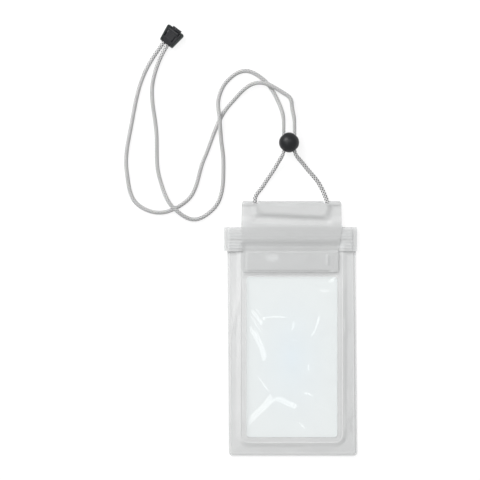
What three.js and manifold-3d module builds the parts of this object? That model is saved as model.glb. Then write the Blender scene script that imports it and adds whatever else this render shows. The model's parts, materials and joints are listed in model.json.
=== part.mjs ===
// A waterproof phone case on a neck cord: a flat pouch of frosted and clear film, closed and lying on its back.
// Its mouth is shut by two press strips, folded over once and held down by a flap with a hook-and-loop patch.
// A braided cord runs through the fold of the flap, through a ball stopper, and ends in a small two-part clip.
// Units are millimetres. X runs across the pouch, Y from its bottom edge to its flap, Z up from the table.
import * as THREE from 'three';
import { mergeVertices } from 'three/addons/utils/BufferGeometryUtils.js';
import Module from 'manifold-3d';

// Pouch body
const bodyWidth = 105.4;
const bodyLength = 187.9;        // bottom edge to the fold of the mouth
const bodyCornerRadius = 3.6;
const bottomLean = 1.3;          // how far the bottom edge sits to the right of the top
const panelThickness = 0.4;
const filmThickness = 0.3;
const layerGap = 0.1;            // air between layers that lie on each other
const foldGap = 0.2;

// Clear window
const windowWidth = 74.6;
const windowLength = 131.6;
const windowBottomMargin = 15.6;
const windowCornerRadius = 2.2;
const filmRampClearance = 0.3;   // the clear films stop this far below the ramp up to the fold
const filmEdgeInset = 0.6;       // the films stop this far inside the edge of the pouch

// Swell of the front: trapped air lifts the window and the flat frame round it
const swellHeight = 1.5;
const swellSlope = 4.2;          // run of the slope up to the frame
const frameWidth = 4.4;          // flat band between the slope and the window
const swellPadClearance = 0.8;   // the slope ends this far below the hook-and-loop patch

// Folded mouth
const mouthWidth = 107.6;
const mouthShift = -1.1;         // the fold is a little off square
const mouthLength = 19.8;        // height of the folded-over bar
const rampLength = 4.0;
const rampClearance = 2.4;

// Press strips
const stripPairs = 2;
const stripPitch = 7.8;
const stripWidth = 5.2;
const stripWeb = 0.4;
const stripEndWeld = 3.3;
const beadRadius = 0.4;
const beadClearance = 0.1;
const jawWall = 0.25;
const jawOpening = 45;           // degrees from straight up to each jaw's lip
const stemWidth = 0.3;

// Flap
const flapThickness = 0.4;
const flapRise = 21.3;           // the flap stands this far above the fold of the mouth
const flapOverhang = 17.1;       // and runs this far below the bar
const flapTopWidth = 81.3;
const flapWidth = 82.5;
const flapEndWidth = 78.8;
const flapCornerRadius = 1.9;
const flapWeldLength = 11.0;
const slotWidth = 4.6;
const slotDepth = 2.5;
const slotSpacing = 59.4;
const slotShift = -0.15;

// Hook-and-loop patch
const padWidth = 70.4;
const padLength = 13.9;
const padShift = -0.8;           // the flap's lower end hangs a little to the left
const padCornerRadius = 1.0;
const loopPadThickness = 1.1;
const hookPadThickness = 0.9;
const hookPadInset = 0.4;

// Neck cord and ball stopper
const cordDiameter = 3.0;
const cordSides = 8;
const cordStepsPerSpan = 2;
const cordLift = 0.05;           // the cord and the ball lie this far above the table
const crossingGap = 0.35;
const flapCordGap = 0.15;
const ballDiameter = 16.5;
const ballBoreSpacing = 8.9;
const ballBoreClearance = 0.3;
const ballX = -1.3;
const ballY = 152.3;
const ballTravel = 8.0;
const ballGuideLength = 1.0;     // the cord runs straight this far past each end of the ball's travel

// Cord clip
const clipLength = 14.4;
const clipNarrow = 12.4;
const clipWide = 16.6;
const clipHeight = 6.0;
const clipWall = 1.3;
const clipFloor = 1.2;
const clipLedge = 0.6;
const clipLidThickness = 1.1;
const clipMouthWidth = 8.0;
const clipCordSpacing = 3.7;
const clipCordShift = -0.5;      // the two strands sit a little left of the clip's middle
const clipClearance = 0.3;
const clipRidgeCount = 3;
const clipRidgeStart = 5.2;
const clipRidgePitch = 2.9;
const clipRidgeHeight = 0.8;
const clipRidgeWidth = 1.0;
const clipTabReach = 0.8;
const clipTabWidth = 8.4;
const clipNarrowRadius = 0.8;
const clipWideRadius = 2.2;
const clipLatchWidth = 1.6;
const clipLatchY = 3.6;
const clipTurn = -36.5;          // degrees about Z
const clipMouthX = -102.0;
const clipMouthY = 233.2;
const knotWidth = 4.5;
const knotLength = 5.5;
const knotHeight = 3.4;
const cordEndDepth = 4.4;        // the cord runs this far into the clip before its knots

const arcSteps = 8;
const roundSteps = 5;

const wasm = await Module();
wasm.setup();

// Closed mesh to solid, for joins and cuts
function toSolid(geometry) {
  const bare = geometry.index ? geometry.toNonIndexed() : geometry.clone();
  bare.deleteAttribute('normal');
  bare.deleteAttribute('uv');
  const merged = mergeVertices(bare, 1e-4);
  return new wasm.Manifold(new wasm.Mesh({
    numProp: 3,
    vertProperties: new Float32Array(merged.attributes.position.array),
    triVerts: new Uint32Array(merged.index.array),
  }));
}

// Solid back to a mesh geometry
function toGeometry(solid) {
  const mesh = solid.getMesh();
  const indexed = new THREE.BufferGeometry();
  indexed.setAttribute('position', new THREE.BufferAttribute(new Float32Array(mesh.vertProperties), 3));
  indexed.setIndex(new THREE.BufferAttribute(new Uint32Array(mesh.triVerts), 1));
  const geometry = indexed.toNonIndexed();
  geometry.computeVertexNormals();
  return geometry;
}

// A plan outline raised from one height to another
function prism(shape, bottom, top) {
  const options = { depth: top - bottom, bevelEnabled: false, curveSegments: roundSteps };
  return new THREE.ExtrudeGeometry(shape, options).translate(0, 0, bottom);
}

// A section drawn in Y and Z, run along X from one end to the other
function runAlongX(shape, left, right) {
  const options = { depth: right - left, bevelEnabled: false, curveSegments: arcSteps };
  const turn = new THREE.Matrix4().makeBasis(
    new THREE.Vector3(0, 1, 0),
    new THREE.Vector3(0, 0, 1),
    new THREE.Vector3(1, 0, 0),
  );
  return new THREE.ExtrudeGeometry(shape, options).applyMatrix4(turn).translate(left, 0, 0);
}

// A polygon whose corners are rounded: each point is [x, y, radius]
function roundedOutline(corners) {
  const shape = new THREE.Shape();
  const count = corners.length;
  corners.forEach(([x, y, radius], i) => {
    const here = new THREE.Vector2(x, y);
    const before = new THREE.Vector2(...corners[(i + count - 1) % count].slice(0, 2));
    const after = new THREE.Vector2(...corners[(i + 1) % count].slice(0, 2));
    const start = here.clone().add(before.sub(here).setLength(radius));
    const end = here.clone().add(after.sub(here).setLength(radius));
    if (i === 0) {
      shape.moveTo(start.x, start.y);
    } else {
      shape.lineTo(start.x, start.y);
    }
    if (radius > 0) {
      shape.quadraticCurveTo(here.x, here.y, end.x, end.y);
    }
  });
  shape.closePath();
  return shape;
}

function roundedRectangle(centreX, bottomY, width, length, radius) {
  const left = centreX - width / 2;
  const right = centreX + width / 2;
  return roundedOutline([
    [left, bottomY, radius],
    [right, bottomY, radius],
    [right, bottomY + length, radius],
    [left, bottomY + length, radius],
  ]);
}

// Section of a sheet of even thickness that follows a line of [y, z] points
function sheetSection(line, thickness) {
  const points = line.map(([y, z]) => new THREE.Vector2(y, z));
  const sides = [[], []];
  points.forEach((point, i) => {
    const before = points[Math.max(i - 1, 0)];
    const after = points[Math.min(i + 1, points.length - 1)];
    const into = point.clone().sub(before);
    const out = after.clone().sub(point);
    const first = (into.length() > 0 ? into : out.clone()).normalize();
    const second = (out.length() > 0 ? out : first.clone()).normalize();
    const along = first.clone().add(second).normalize();
    const reach = thickness / 2 / along.dot(first);
    sides[0].push(new THREE.Vector2(point.x + along.y * reach, point.y - along.x * reach));
    sides[1].unshift(new THREE.Vector2(point.x - along.y * reach, point.y + along.x * reach));
  });
  return new THREE.Shape([...sides[0], ...sides[1]]);
}

// Half turn of a folded sheet, from its lower leg round to its upper leg
function foldArc(centreY, lowZ, highZ) {
  const radius = (highZ - lowZ) / 2;
  const points = [];
  for (let i = 0; i <= arcSteps; i += 1) {
    const angle = -Math.PI / 2 + (Math.PI * i) / arcSteps;
    points.push([centreY + radius * Math.cos(angle), lowZ + radius + radius * Math.sin(angle)]);
  }
  return points;
}

// Heights of the layers, each named for its underside
const backFilmZ = panelThickness + layerGap;
const frontFilmZ = backFilmZ + filmThickness + layerGap;
const frontPanelZ = frontFilmZ + filmThickness + layerGap;
const bodyTopZ = frontPanelZ + panelThickness;
const backUpperZ = flapThickness + layerGap;
const frontUpperZ = backUpperZ + panelThickness + layerGap;
const frontFoldedZ = Math.max(bodyTopZ, frontUpperZ + panelThickness) + foldGap;
const stripZ = frontFoldedZ + panelThickness + layerGap;
const jawCentre = stripWeb + beadRadius + beadClearance;
const jawRadius = beadRadius + beadClearance + jawWall;
const jawLipHeight = jawCentre + jawRadius * Math.cos(THREE.MathUtils.degToRad(jawOpening));
const stripHeight = jawLipHeight + beadClearance + stripWeb;
const backFoldedZ = stripZ + stripHeight + layerGap;
const barTopZ = backFoldedZ + panelThickness;
const loopPadZ = bodyTopZ + layerGap;
const hookPadZ = loopPadZ + loopPadThickness + layerGap;
const flapEndZ = hookPadZ + hookPadThickness + layerGap;
const flapOverBarZ = barTopZ + layerGap;
const cordInFlapZ = flapThickness + flapCordGap + cordDiameter / 2;
const flapFoldTopZ = cordInFlapZ + cordDiameter / 2 + flapCordGap;

// Places along Y, measured from the middle of the pouch with its flap
const pouchLength = bodyLength + flapRise;
const bottomY = -pouchLength / 2;
const foldY = bottomY + bodyLength;
const flapTopY = pouchLength / 2;
const mouthY = foldY - mouthLength;
const rampStartY = mouthY + rampClearance;
const rampEndY = rampStartY + rampLength;
const windowBottomY = bottomY + windowBottomMargin;
const windowTopY = windowBottomY + windowLength;
const filmTopY = rampStartY - filmRampClearance;
const flapEndY = mouthY - flapOverhang;
const padY = mouthY - padLength - (flapOverhang - padLength) / 2;

// Places along X: the pouch is centred on the reach of its widest pieces
const leftReach = Math.min(mouthShift - mouthWidth / 2, -bodyWidth / 2);
const rightReach = Math.max(mouthShift + mouthWidth / 2, bottomLean + bodyWidth / 2);
const topX = -(leftReach + rightReach) / 2;
const bottomX = topX + bottomLean;
const mouthX = topX + mouthShift;
const windowX = (topX + bottomX) / 2;
const flapX = topX;
const padX = flapX + padShift;
const slotX = flapX + slotShift;

const pouchOutline = roundedOutline([
  [bottomX - bodyWidth / 2, bottomY, bodyCornerRadius],
  [bottomX + bodyWidth / 2, bottomY, bodyCornerRadius],
  [topX + bodyWidth / 2, mouthY, 0],
  [mouthX + mouthWidth / 2, rampEndY, 0],
  [mouthX + mouthWidth / 2, flapTopY, 0],
  [mouthX - mouthWidth / 2, flapTopY, 0],
  [mouthX - mouthWidth / 2, rampEndY, 0],
  [topX - bodyWidth / 2, mouthY, 0],
]);
const windowOutline = roundedRectangle(windowX, windowBottomY, windowWidth, windowLength, windowCornerRadius);
const farX = mouthWidth;
const farZ = barTopZ + ballDiameter;

// The air under the front: a flat block with sloping sides that rises from its foot at a given height
function swellSolid(footZ, depth) {
  const length = padY - swellPadClearance - windowBottomY + frameWidth;
  const width = windowWidth + 2 * frameWidth;
  const crownRadius = windowCornerRadius + frameWidth / 2;
  const footRadius = crownRadius + swellSlope / 2;
  const foot = roundedRectangle(
    windowX,
    windowBottomY - frameWidth - swellSlope,
    width + 2 * swellSlope,
    length + swellSlope,
    footRadius,
  );
  const crown = roundedRectangle(windowX, windowBottomY - frameWidth, width, length - swellSlope, crownRadius);
  return wasm.Manifold.hull([
    toSolid(prism(foot, footZ - depth, footZ)),
    toSolid(prism(crown, footZ - depth, footZ + swellHeight)),
  ]);
}

// A sheet that lies flat from one height to another, lifted over the swell
function overSwell(sheet, bottomZ, thickness) {
  const lifted = sheet.add(swellSolid(bottomZ + thickness, thickness));
  return lifted.subtract(swellSolid(bottomZ, layerGap));
}

// A frosted panel: one sheet with the window cut out, folded over with the mouth at its top
function panelGeometry(lowerZ, upperZ, foldedZ, foldCentreY, swells) {
  const half = panelThickness / 2;
  const line = [
    [bottomY, lowerZ + half],
    [rampStartY, lowerZ + half],
    [rampEndY, upperZ + half],
    ...foldArc(foldCentreY, upperZ + half, foldedZ + half),
    [mouthY, foldedZ + half],
  ];
  const flat = toSolid(runAlongX(sheetSection(line, panelThickness), -farX, farX));
  const sheet = swells ? overSwell(flat, lowerZ, panelThickness) : flat;
  const plan = toSolid(prism(pouchOutline, -farZ, farZ));
  const opening = toSolid(prism(windowOutline, -farZ, farZ));
  return toGeometry(sheet.intersect(plan).subtract(opening));
}

const backFoldCentreY = foldY - panelThickness / 2 - (backFoldedZ - backUpperZ) / 2;
const frontFoldCentreY = backFoldCentreY - (frontFoldedZ - frontUpperZ);

// A clear film: it covers the window and runs out to the welded edge of the pouch
function filmGeometry(bottomZ, swells) {
  const lean = bottomLean * ((mouthY - filmTopY) / (mouthY - bottomY));
  const half = bodyWidth / 2 - filmEdgeInset;
  const outline = roundedOutline([
    [bottomX - half, bottomY + filmEdgeInset, bodyCornerRadius],
    [bottomX + half, bottomY + filmEdgeInset, bodyCornerRadius],
    [topX + lean + half, filmTopY, 0],
    [topX + lean - half, filmTopY, 0],
  ]);
  const flat = prism(outline, bottomZ, bottomZ + filmThickness);
  return swells ? toGeometry(overSwell(toSolid(flat), bottomZ, filmThickness)) : flat;
}

// Groove half of a press strip: a flat web with two jaws that close round the bead
function grooveSection() {
  const lip = THREE.MathUtils.degToRad(90 - jawOpening);
  const outer = jawRadius;
  const inner = beadRadius + beadClearance;
  const footAngle = Math.asin((jawCentre - stripWeb) / outer);
  const shape = new THREE.Shape();
  shape.moveTo(-stripWidth / 2, 0);
  shape.lineTo(stripWidth / 2, 0);
  shape.lineTo(stripWidth / 2, stripWeb);
  shape.lineTo(outer * Math.cos(footAngle), stripWeb);
  shape.absarc(0, jawCentre, outer, -footAngle, lip, false);
  shape.lineTo(inner * Math.cos(lip), jawCentre + inner * Math.sin(lip));
  shape.absarc(0, jawCentre, inner, lip, Math.PI - lip, true);
  shape.lineTo(-outer * Math.cos(lip), jawCentre + outer * Math.sin(lip));
  shape.absarc(0, jawCentre, outer, Math.PI - lip, Math.PI + footAngle, false);
  shape.lineTo(-stripWidth / 2, stripWeb);
  shape.closePath();
  return shape;
}

// Bead half of a press strip: a flat web with a stem that ends in a round bead, pointing down
function beadSection() {
  const half = stemWidth / 2;
  const neck = Math.acos(half / beadRadius);
  const webZ = stripHeight - stripWeb;
  const shape = new THREE.Shape();
  shape.moveTo(-stripWidth / 2, webZ);
  shape.lineTo(-half, webZ);
  shape.lineTo(-half, jawCentre + beadRadius * Math.sin(neck));
  shape.absarc(0, jawCentre, beadRadius, Math.PI - neck, 2 * Math.PI + neck, false);
  shape.lineTo(half, webZ);
  shape.lineTo(stripWidth / 2, webZ);
  shape.lineTo(stripWidth / 2, stripHeight);
  shape.lineTo(-stripWidth / 2, stripHeight);
  shape.closePath();
  return shape;
}

function pressStripGeometry(section, pair) {
  const middle = (mouthY + backFoldCentreY) / 2;
  const centreY = middle + ((stripPairs - 1) / 2 - pair) * stripPitch;
  const half = mouthWidth / 2 - stripEndWeld;
  return runAlongX(section, mouthX - half, mouthX + half).translate(0, centreY, stripZ);
}

// The flap: one strip welded behind the mouth, folded over the cord and brought down over the bar
function flapGeometry() {
  const half = flapThickness / 2;
  const foldRadius = flapFoldTopZ / 2;
  const foldCentreY = flapTopY - half - foldRadius;
  const line = [
    [foldY - flapWeldLength, half],
    ...foldArc(foldCentreY, half, flapFoldTopZ + half),
    [foldY + rampClearance, flapOverBarZ + half],
    [mouthY - layerGap, flapOverBarZ + half],
    [mouthY - rampLength, flapEndZ + half],
    [flapEndY, flapEndZ + half],
  ];
  const plan = roundedOutline([
    [padX - flapEndWidth / 2, flapEndY, flapCornerRadius],
    [padX + flapEndWidth / 2, flapEndY, flapCornerRadius],
    [padX + flapEndWidth / 2, mouthY, 0],
    [flapX + flapWidth / 2, foldY, 0],
    [flapX + flapTopWidth / 2, flapTopY, flapCornerRadius],
    [flapX - flapTopWidth / 2, flapTopY, flapCornerRadius],
    [flapX - flapWidth / 2, foldY, 0],
    [padX - flapEndWidth / 2, mouthY, 0],
  ]);
  let flap = toSolid(runAlongX(sheetSection(line, flapThickness), -farX, farX));
  flap = flap.intersect(toSolid(prism(plan, -farZ, farZ)));
  for (const side of [-1, 1]) {
    const slot = new THREE.BoxGeometry(slotWidth, 2 * slotDepth, 2 * farZ);
    slot.translate(slotX + (side * slotSpacing) / 2, flapTopY, 0);
    flap = flap.subtract(toSolid(slot));
  }
  return toGeometry(flap);
}

function padGeometry(bottomZ, thickness, inset) {
  const outline = roundedRectangle(
    padX,
    padY + inset,
    padWidth - 2 * inset,
    padLength - 2 * inset,
    padCornerRadius,
  );
  return prism(outline, bottomZ, bottomZ + thickness);
}

// Cord route: points chosen along the cord, from the clip down the outer loop, through the ball and the flap,
// and back up the inner loop. A fourth entry is the way the cord has to point there.
const lyingZ = cordDiameter / 2 + cordLift;
const crossingZ = lyingZ + cordDiameter + crossingGap;
const ballZ = ballDiameter / 2 + cordLift;
const clipCordZ = clipFloor + cordDiameter / 2 + clipClearance;
const boreHalf = ballBoreSpacing / 2;
const ballChord = Math.sqrt((ballDiameter / 2) ** 2 - boreHalf ** 2);
const straightTopY = ballY + ballChord + ballTravel + ballGuideLength;
const straightBottomY = ballY - ballChord + ballGuideLength;
const turn = THREE.MathUtils.degToRad(clipTurn);

function fromClip(across, along, height) {
  return [
    clipMouthX + across * Math.cos(turn) - along * Math.sin(turn),
    clipMouthY + across * Math.sin(turn) + along * Math.cos(turn),
    height,
  ];
}

const outOfClip = new THREE.Vector3(Math.sin(turn), -Math.cos(turn), 0);
const intoClip = outOfClip.clone().negate();
const downTheBall = new THREE.Vector3(0, -1, 0);
const upTheBall = new THREE.Vector3(0, 1, 0);
const alongFlap = new THREE.Vector3(-1, 0, 0);
const towardsTheBall = new THREE.Vector3(5, -3, 0);
const leftStrand = clipCordShift - clipCordSpacing / 2;
const rightStrand = clipCordShift + clipCordSpacing / 2;
const cordPoints = [
  [...fromClip(leftStrand, cordEndDepth, clipCordZ), outOfClip],
  [-119.2, 210.4, lyingZ],
  [-130.0, 169.3, lyingZ],
  [-134.2, 128.4, lyingZ],
  [-125.6, 102.1, lyingZ],
  [-109.7, 95.2, lyingZ],
  [-85.0, 104.9, lyingZ],
  [-70.9, 139.0, lyingZ],
  [-48.9, 184.6, lyingZ],
  [-27.4, 201.2, crossingZ],
  [-3.1, 191.2, 5.0, towardsTheBall],
  [0.9, 184.0, 5.5, downTheBall],
  [ballX + boreHalf, straightTopY, ballZ, downTheBall],
  [ballX + boreHalf, straightBottomY, ballZ, downTheBall],
  [11.1, 133.9, 4.2],
  [23.2, 118.9, 1.8],
  [29.8, 104.5, cordInFlapZ],
  [32.0, 97.6, cordInFlapZ],
  [24.5, 91.8, cordInFlapZ, alongFlap],
  [-21.5, 93.8, cordInFlapZ, alongFlap],
  [-29.3, 104.5, cordInFlapZ],
  [-21.7, 118.2, 1.8],
  [-11.2, 134.4, 4.2],
  [ballX - boreHalf, straightBottomY, ballZ, upTheBall],
  [ballX - boreHalf, straightTopY, ballZ, upTheBall],
  [-10.7, 187.0, 2.9],
  [-23.4, 205.0, lyingZ],
  [-36.8, 211.2, lyingZ],
  [-52.1, 202.7, lyingZ],
  [-59.2, 186.6, 2.2],
  [-58.2, 172.4, crossingZ],
  [-56.8, 154.3, 2.4],
  [-55.0, 135.8, lyingZ],
  [-63.9, 97.5, lyingZ],
  [-78.3, 89.5, 2.2],
  [-94.9, 98.0, crossingZ],
  [-107.5, 124.0, lyingZ],
  [-109.9, 160.0, lyingZ],
  [-112.7, 203.0, lyingZ],
  [...fromClip(rightStrand, cordEndDepth, clipCordZ), intoClip],
];

// One smooth curve through the points: a cubic span between each two, whose handles are a third of its length.
// A point with no set direction takes the one a circle through it and its neighbours would have, and runs level
// where the cord lies on the table.
// Steps follow the points and not the length, so that the tight bends keep enough of them.
class CordRoute extends THREE.Curve {
  constructor(points) {
    super();
    const places = points.map(([x, y, z]) => new THREE.Vector3(x, y, z));
    const spans = places.slice(1).map((place, i) => place.clone().sub(places[i]));
    const headings = points.map((point, i) => {
      const into = spans[Math.max(i - 1, 0)];
      const out = spans[Math.min(i, spans.length - 1)];
      const circle = into.clone().setLength(out.length()).add(out.clone().setLength(into.length()));
      circle.z = point[2] === lyingZ ? 0 : circle.z;
      return (point[3] ?? circle).clone().normalize();
    });
    this.spans = spans.map((span, i) => new THREE.CubicBezierCurve3(
      places[i],
      places[i].clone().addScaledVector(headings[i], span.length() / 3),
      places[i + 1].clone().addScaledVector(headings[i + 1], -span.length() / 3),
      places[i + 1],
    ));
  }

  getPoint(share, target) {
    const place = share * this.spans.length;
    const span = Math.min(Math.floor(place), this.spans.length - 1);
    return this.spans[span].getPoint(place - span, target);
  }

  getTangent(share, target) {
    const place = share * this.spans.length;
    const span = Math.min(Math.floor(place), this.spans.length - 1);
    return this.spans[span].getTangent(place - span, target);
  }

  getPointAt(share, target) {
    return this.getPoint(share, target);
  }

  getTangentAt(share, target) {
    return this.getTangent(share, target);
  }
}

function cordGeometry() {
  const route = new CordRoute(cordPoints);
  const section = new THREE.Shape();
  for (let i = 0; i < cordSides; i += 1) {
    const angle = (2 * Math.PI * i) / cordSides;
    const x = (cordDiameter / 2) * Math.cos(angle);
    const y = (cordDiameter / 2) * Math.sin(angle);
    if (i === 0) {
      section.moveTo(x, y);
    } else {
      section.lineTo(x, y);
    }
  }
  section.closePath();
  const steps = cordStepsPerSpan * (cordPoints.length - 1);
  return new THREE.ExtrudeGeometry(section, { steps, bevelEnabled: false, extrudePath: route });
}

// Ball stopper: a sphere with two bores side by side for the cord
function ballGeometry() {
  let ball = toSolid(new THREE.SphereGeometry(ballDiameter / 2, 40, 24));
  for (const side of [-1, 1]) {
    const bore = new THREE.CylinderGeometry(
      cordDiameter / 2 + ballBoreClearance,
      cordDiameter / 2 + ballBoreClearance,
      2 * ballDiameter,
      20,
    );
    bore.translate(side * boreHalf, 0, 0);
    ball = ball.subtract(toSolid(bore));
  }
  return toGeometry(ball);
}

// Outline of the clip, drawn from its cord mouth at the origin towards +Y, inset by a margin
function clipOutline(inset, endInset, narrowRadius, wideRadius) {
  const slope = (clipWide - clipNarrow) / 2 / clipLength;
  const bottom = endInset;
  const top = clipLength - endInset;
  const low = clipNarrow / 2 + slope * bottom - inset;
  const high = clipNarrow / 2 + slope * top - inset;
  return roundedOutline([
    [-low, bottom, narrowRadius],
    [low, bottom, narrowRadius],
    [high, top, wideRadius],
    [-high, top, wideRadius],
  ]);
}

const clipSeatZ = clipHeight - clipLidThickness - clipClearance;

// A straight-sided block of the clip, given by its middle in plan and its two heights
function clipBlock(width, length, centreX, centreY, bottom, top) {
  const block = new THREE.BoxGeometry(width, length, top - bottom);
  return toSolid(block.translate(centreX, centreY, (bottom + top) / 2));
}

function clipBaseGeometry() {
  const throughWall = 4 * clipWall;
  const above = 2 * clipHeight;
  const innerRadius = clipWideRadius - clipWall;
  const wellInset = clipWall + clipLedge;
  let base = toSolid(prism(clipOutline(0, 0, clipNarrowRadius, clipWideRadius), 0, clipHeight));
  base = base.subtract(toSolid(prism(clipOutline(wellInset, wellInset, 0, innerRadius), clipFloor, above)));
  base = base.subtract(toSolid(prism(clipOutline(clipWall, clipWall, 0, innerRadius), clipSeatZ, above)));
  base = base.subtract(clipBlock(clipMouthWidth, throughWall, clipCordShift, 0, clipFloor, above));
  const tabCutWidth = clipTabWidth + 2 * clipClearance;
  base = base.subtract(clipBlock(tabCutWidth, throughWall, 0, clipLength, clipSeatZ, above));
  const latchTop = clipSeatZ - clipLedge;
  const latchBottom = latchTop - clipLatchWidth;
  for (const side of [-1, 1]) {
    const latchX = (side * clipNarrow) / 2;
    base = base.subtract(clipBlock(throughWall, clipLatchWidth, latchX, clipLatchY, latchBottom, latchTop));
  }
  return toGeometry(base);
}

function clipLidGeometry() {
  const lidZ = clipSeatZ + clipClearance;
  const inset = clipWall + clipClearance;
  const innerRadius = clipWideRadius - clipWall;
  let lid = toSolid(prism(clipOutline(inset, inset, 0, innerRadius), lidZ, clipHeight));
  const tabLength = 2 * clipWall + clipTabReach;
  const tabY = clipLength + clipTabReach - tabLength / 2;
  lid = lid.add(clipBlock(clipTabWidth, tabLength, 0, tabY, lidZ, clipHeight));
  const ridgeLength = clipNarrow - 4 * clipWall;
  for (let i = 0; i < clipRidgeCount; i += 1) {
    const ridgeY = clipRidgeStart + clipRidgePitch * i;
    lid = lid.add(clipBlock(ridgeLength, clipRidgeWidth, 0, ridgeY, lidZ, clipHeight + clipRidgeHeight));
  }
  return toGeometry(lid);
}

function knotGeometry() {
  const knot = new THREE.SphereGeometry(0.5, 14, 10);
  knot.rotateX(Math.PI / 2);
  return knot.scale(knotWidth, knotLength, knotHeight);
}

const frosted = { color: 0xd9dada, roughness: 0.5, metalness: 0, transparent: true, opacity: 0.92 };
const clear = { color: 0xe6ebec, roughness: 0.12, metalness: 0, transparent: true, opacity: 0.4 };
const strip = { color: 0xdfe1e2, roughness: 0.35, metalness: 0 };
const padWhite = { color: 0xd2d3d3, roughness: 0.95, metalness: 0 };
const braid = { color: 0xb2b2b2, roughness: 0.85, metalness: 0 };
const blackPlastic = { color: 0x1d2124, roughness: 0.45, metalness: 0 };

const pouch = new THREE.Group();

function place(name, geometry, finish) {
  const mesh = new THREE.Mesh(geometry, new THREE.MeshStandardMaterial(finish));
  mesh.name = name;
  return mesh;
}

pouch.add(
  place('back_panel', panelGeometry(0, backUpperZ, backFoldedZ, backFoldCentreY, false), frosted),
  place('back_film', filmGeometry(backFilmZ, false), clear),
  place('front_film', filmGeometry(frontFilmZ, true), clear),
  place('front_panel', panelGeometry(frontPanelZ, frontUpperZ, frontFoldedZ, frontFoldCentreY, true), frosted),
);
for (let pair = 0; pair < stripPairs; pair += 1) {
  pouch.add(
    place(`press_strip_groove_${pair + 1}`, pressStripGeometry(grooveSection(), pair), strip),
    place(`press_strip_bead_${pair + 1}`, pressStripGeometry(beadSection(), pair), strip),
  );
}
pouch.add(
  place('flap', flapGeometry(), frosted),
  place('loop_pad', padGeometry(loopPadZ, loopPadThickness, 0), padWhite),
  place('hook_pad', padGeometry(hookPadZ, hookPadThickness, hookPadInset), padWhite),
);

const ball = place('ball_stopper', ballGeometry(), blackPlastic);
ball.position.set(ballX, ballY, ballZ);

const clip = new THREE.Group();
clip.position.set(clipMouthX, clipMouthY, 0);
clip.rotation.z = turn;
clip.add(place('clip_base', clipBaseGeometry(), blackPlastic));
clip.add(place('clip_lid', clipLidGeometry(), blackPlastic));
const knotX = (knotWidth + clipClearance) / 2;
const knotY = cordEndDepth + clipClearance + knotLength / 2;
const knotZ = clipFloor + clipClearance / 2 + knotHeight / 2;
for (const [name, side] of [['cord_knot_left', -1], ['cord_knot_right', 1]]) {
  const knot = place(name, knotGeometry(), braid);
  knot.position.set(side * knotX, knotY, knotZ);
  clip.add(knot);
}

const phoneCase = new THREE.Group();
phoneCase.add(pouch, place('neck_cord', cordGeometry(), braid), ball, clip);

export default phoneCase;
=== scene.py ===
# %% [markdown]
# # A waterproof phone case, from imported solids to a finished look
# The case is a flat pouch of frosted and clear soft vinyl on a braided neck cord. Its solids come
# packed from the model, at their real size and place. Each cell here makes one piece or one finish over
# them. Everything is in metres: X runs across the pouch, Y from its bottom edge to its flap, Z up from
# the table.

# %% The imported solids
import json
import math
import bpy
import numpy as np
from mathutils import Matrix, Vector


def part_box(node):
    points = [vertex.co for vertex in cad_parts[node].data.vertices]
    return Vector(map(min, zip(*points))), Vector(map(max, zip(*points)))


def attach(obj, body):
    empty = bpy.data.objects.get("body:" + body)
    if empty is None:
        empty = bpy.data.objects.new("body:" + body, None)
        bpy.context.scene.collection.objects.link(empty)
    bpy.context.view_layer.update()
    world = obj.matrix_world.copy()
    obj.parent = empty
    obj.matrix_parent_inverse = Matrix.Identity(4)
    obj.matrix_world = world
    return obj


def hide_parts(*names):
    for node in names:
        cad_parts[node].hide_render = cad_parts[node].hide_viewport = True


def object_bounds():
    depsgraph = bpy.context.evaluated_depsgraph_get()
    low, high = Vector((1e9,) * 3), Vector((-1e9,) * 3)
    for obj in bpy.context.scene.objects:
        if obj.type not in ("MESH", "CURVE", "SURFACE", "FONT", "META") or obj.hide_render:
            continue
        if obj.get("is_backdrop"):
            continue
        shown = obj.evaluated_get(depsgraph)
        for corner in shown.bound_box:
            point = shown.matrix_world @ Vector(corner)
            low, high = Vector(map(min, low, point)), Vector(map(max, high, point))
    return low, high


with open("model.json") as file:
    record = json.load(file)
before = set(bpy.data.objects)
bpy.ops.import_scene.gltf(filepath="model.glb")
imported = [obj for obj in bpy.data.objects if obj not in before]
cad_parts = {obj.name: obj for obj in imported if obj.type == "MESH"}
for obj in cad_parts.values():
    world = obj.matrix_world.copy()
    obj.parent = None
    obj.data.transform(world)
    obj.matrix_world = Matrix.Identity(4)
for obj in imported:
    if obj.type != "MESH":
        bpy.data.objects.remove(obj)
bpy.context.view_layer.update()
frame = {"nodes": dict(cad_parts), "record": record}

mm = 0.001

# %% [markdown]
# ## Camera
# The case lies flat and is seen from straight above, with hardly any perspective. A long lens from two
# metres away gives that: the ball stands 16 mm high and moves by less than a pixel. The field is a
# square in X and Y, and the distance follows from its width, the lens and the sensor.

# %% Camera
view_middle = (-41.4 * mm, 72.6 * mm)
view_width = 393.6 * mm
lens = 200.0
sensor = 36.0

camera_data = bpy.data.cameras.new("camera")
camera_data.lens = lens
camera_data.sensor_width = sensor
camera = bpy.data.objects.new("camera", camera_data)
camera.location = (*view_middle, view_width * lens / sensor)
bpy.context.scene.collection.objects.link(camera)
bpy.context.scene.camera = camera
print("camera height in metres:", round(camera.location.z, 3))

# %% [markdown]
# ## Meshes from arrays
# Every new piece is a grid of points worked out as one array, rows by columns. The faces of such a grid
# are always the same four neighbours, so one helper writes them for a tube, a sheet or a ball, and
# another hands points and faces to a mesh. A direction that closes on itself joins its last line to its
# first.

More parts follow.
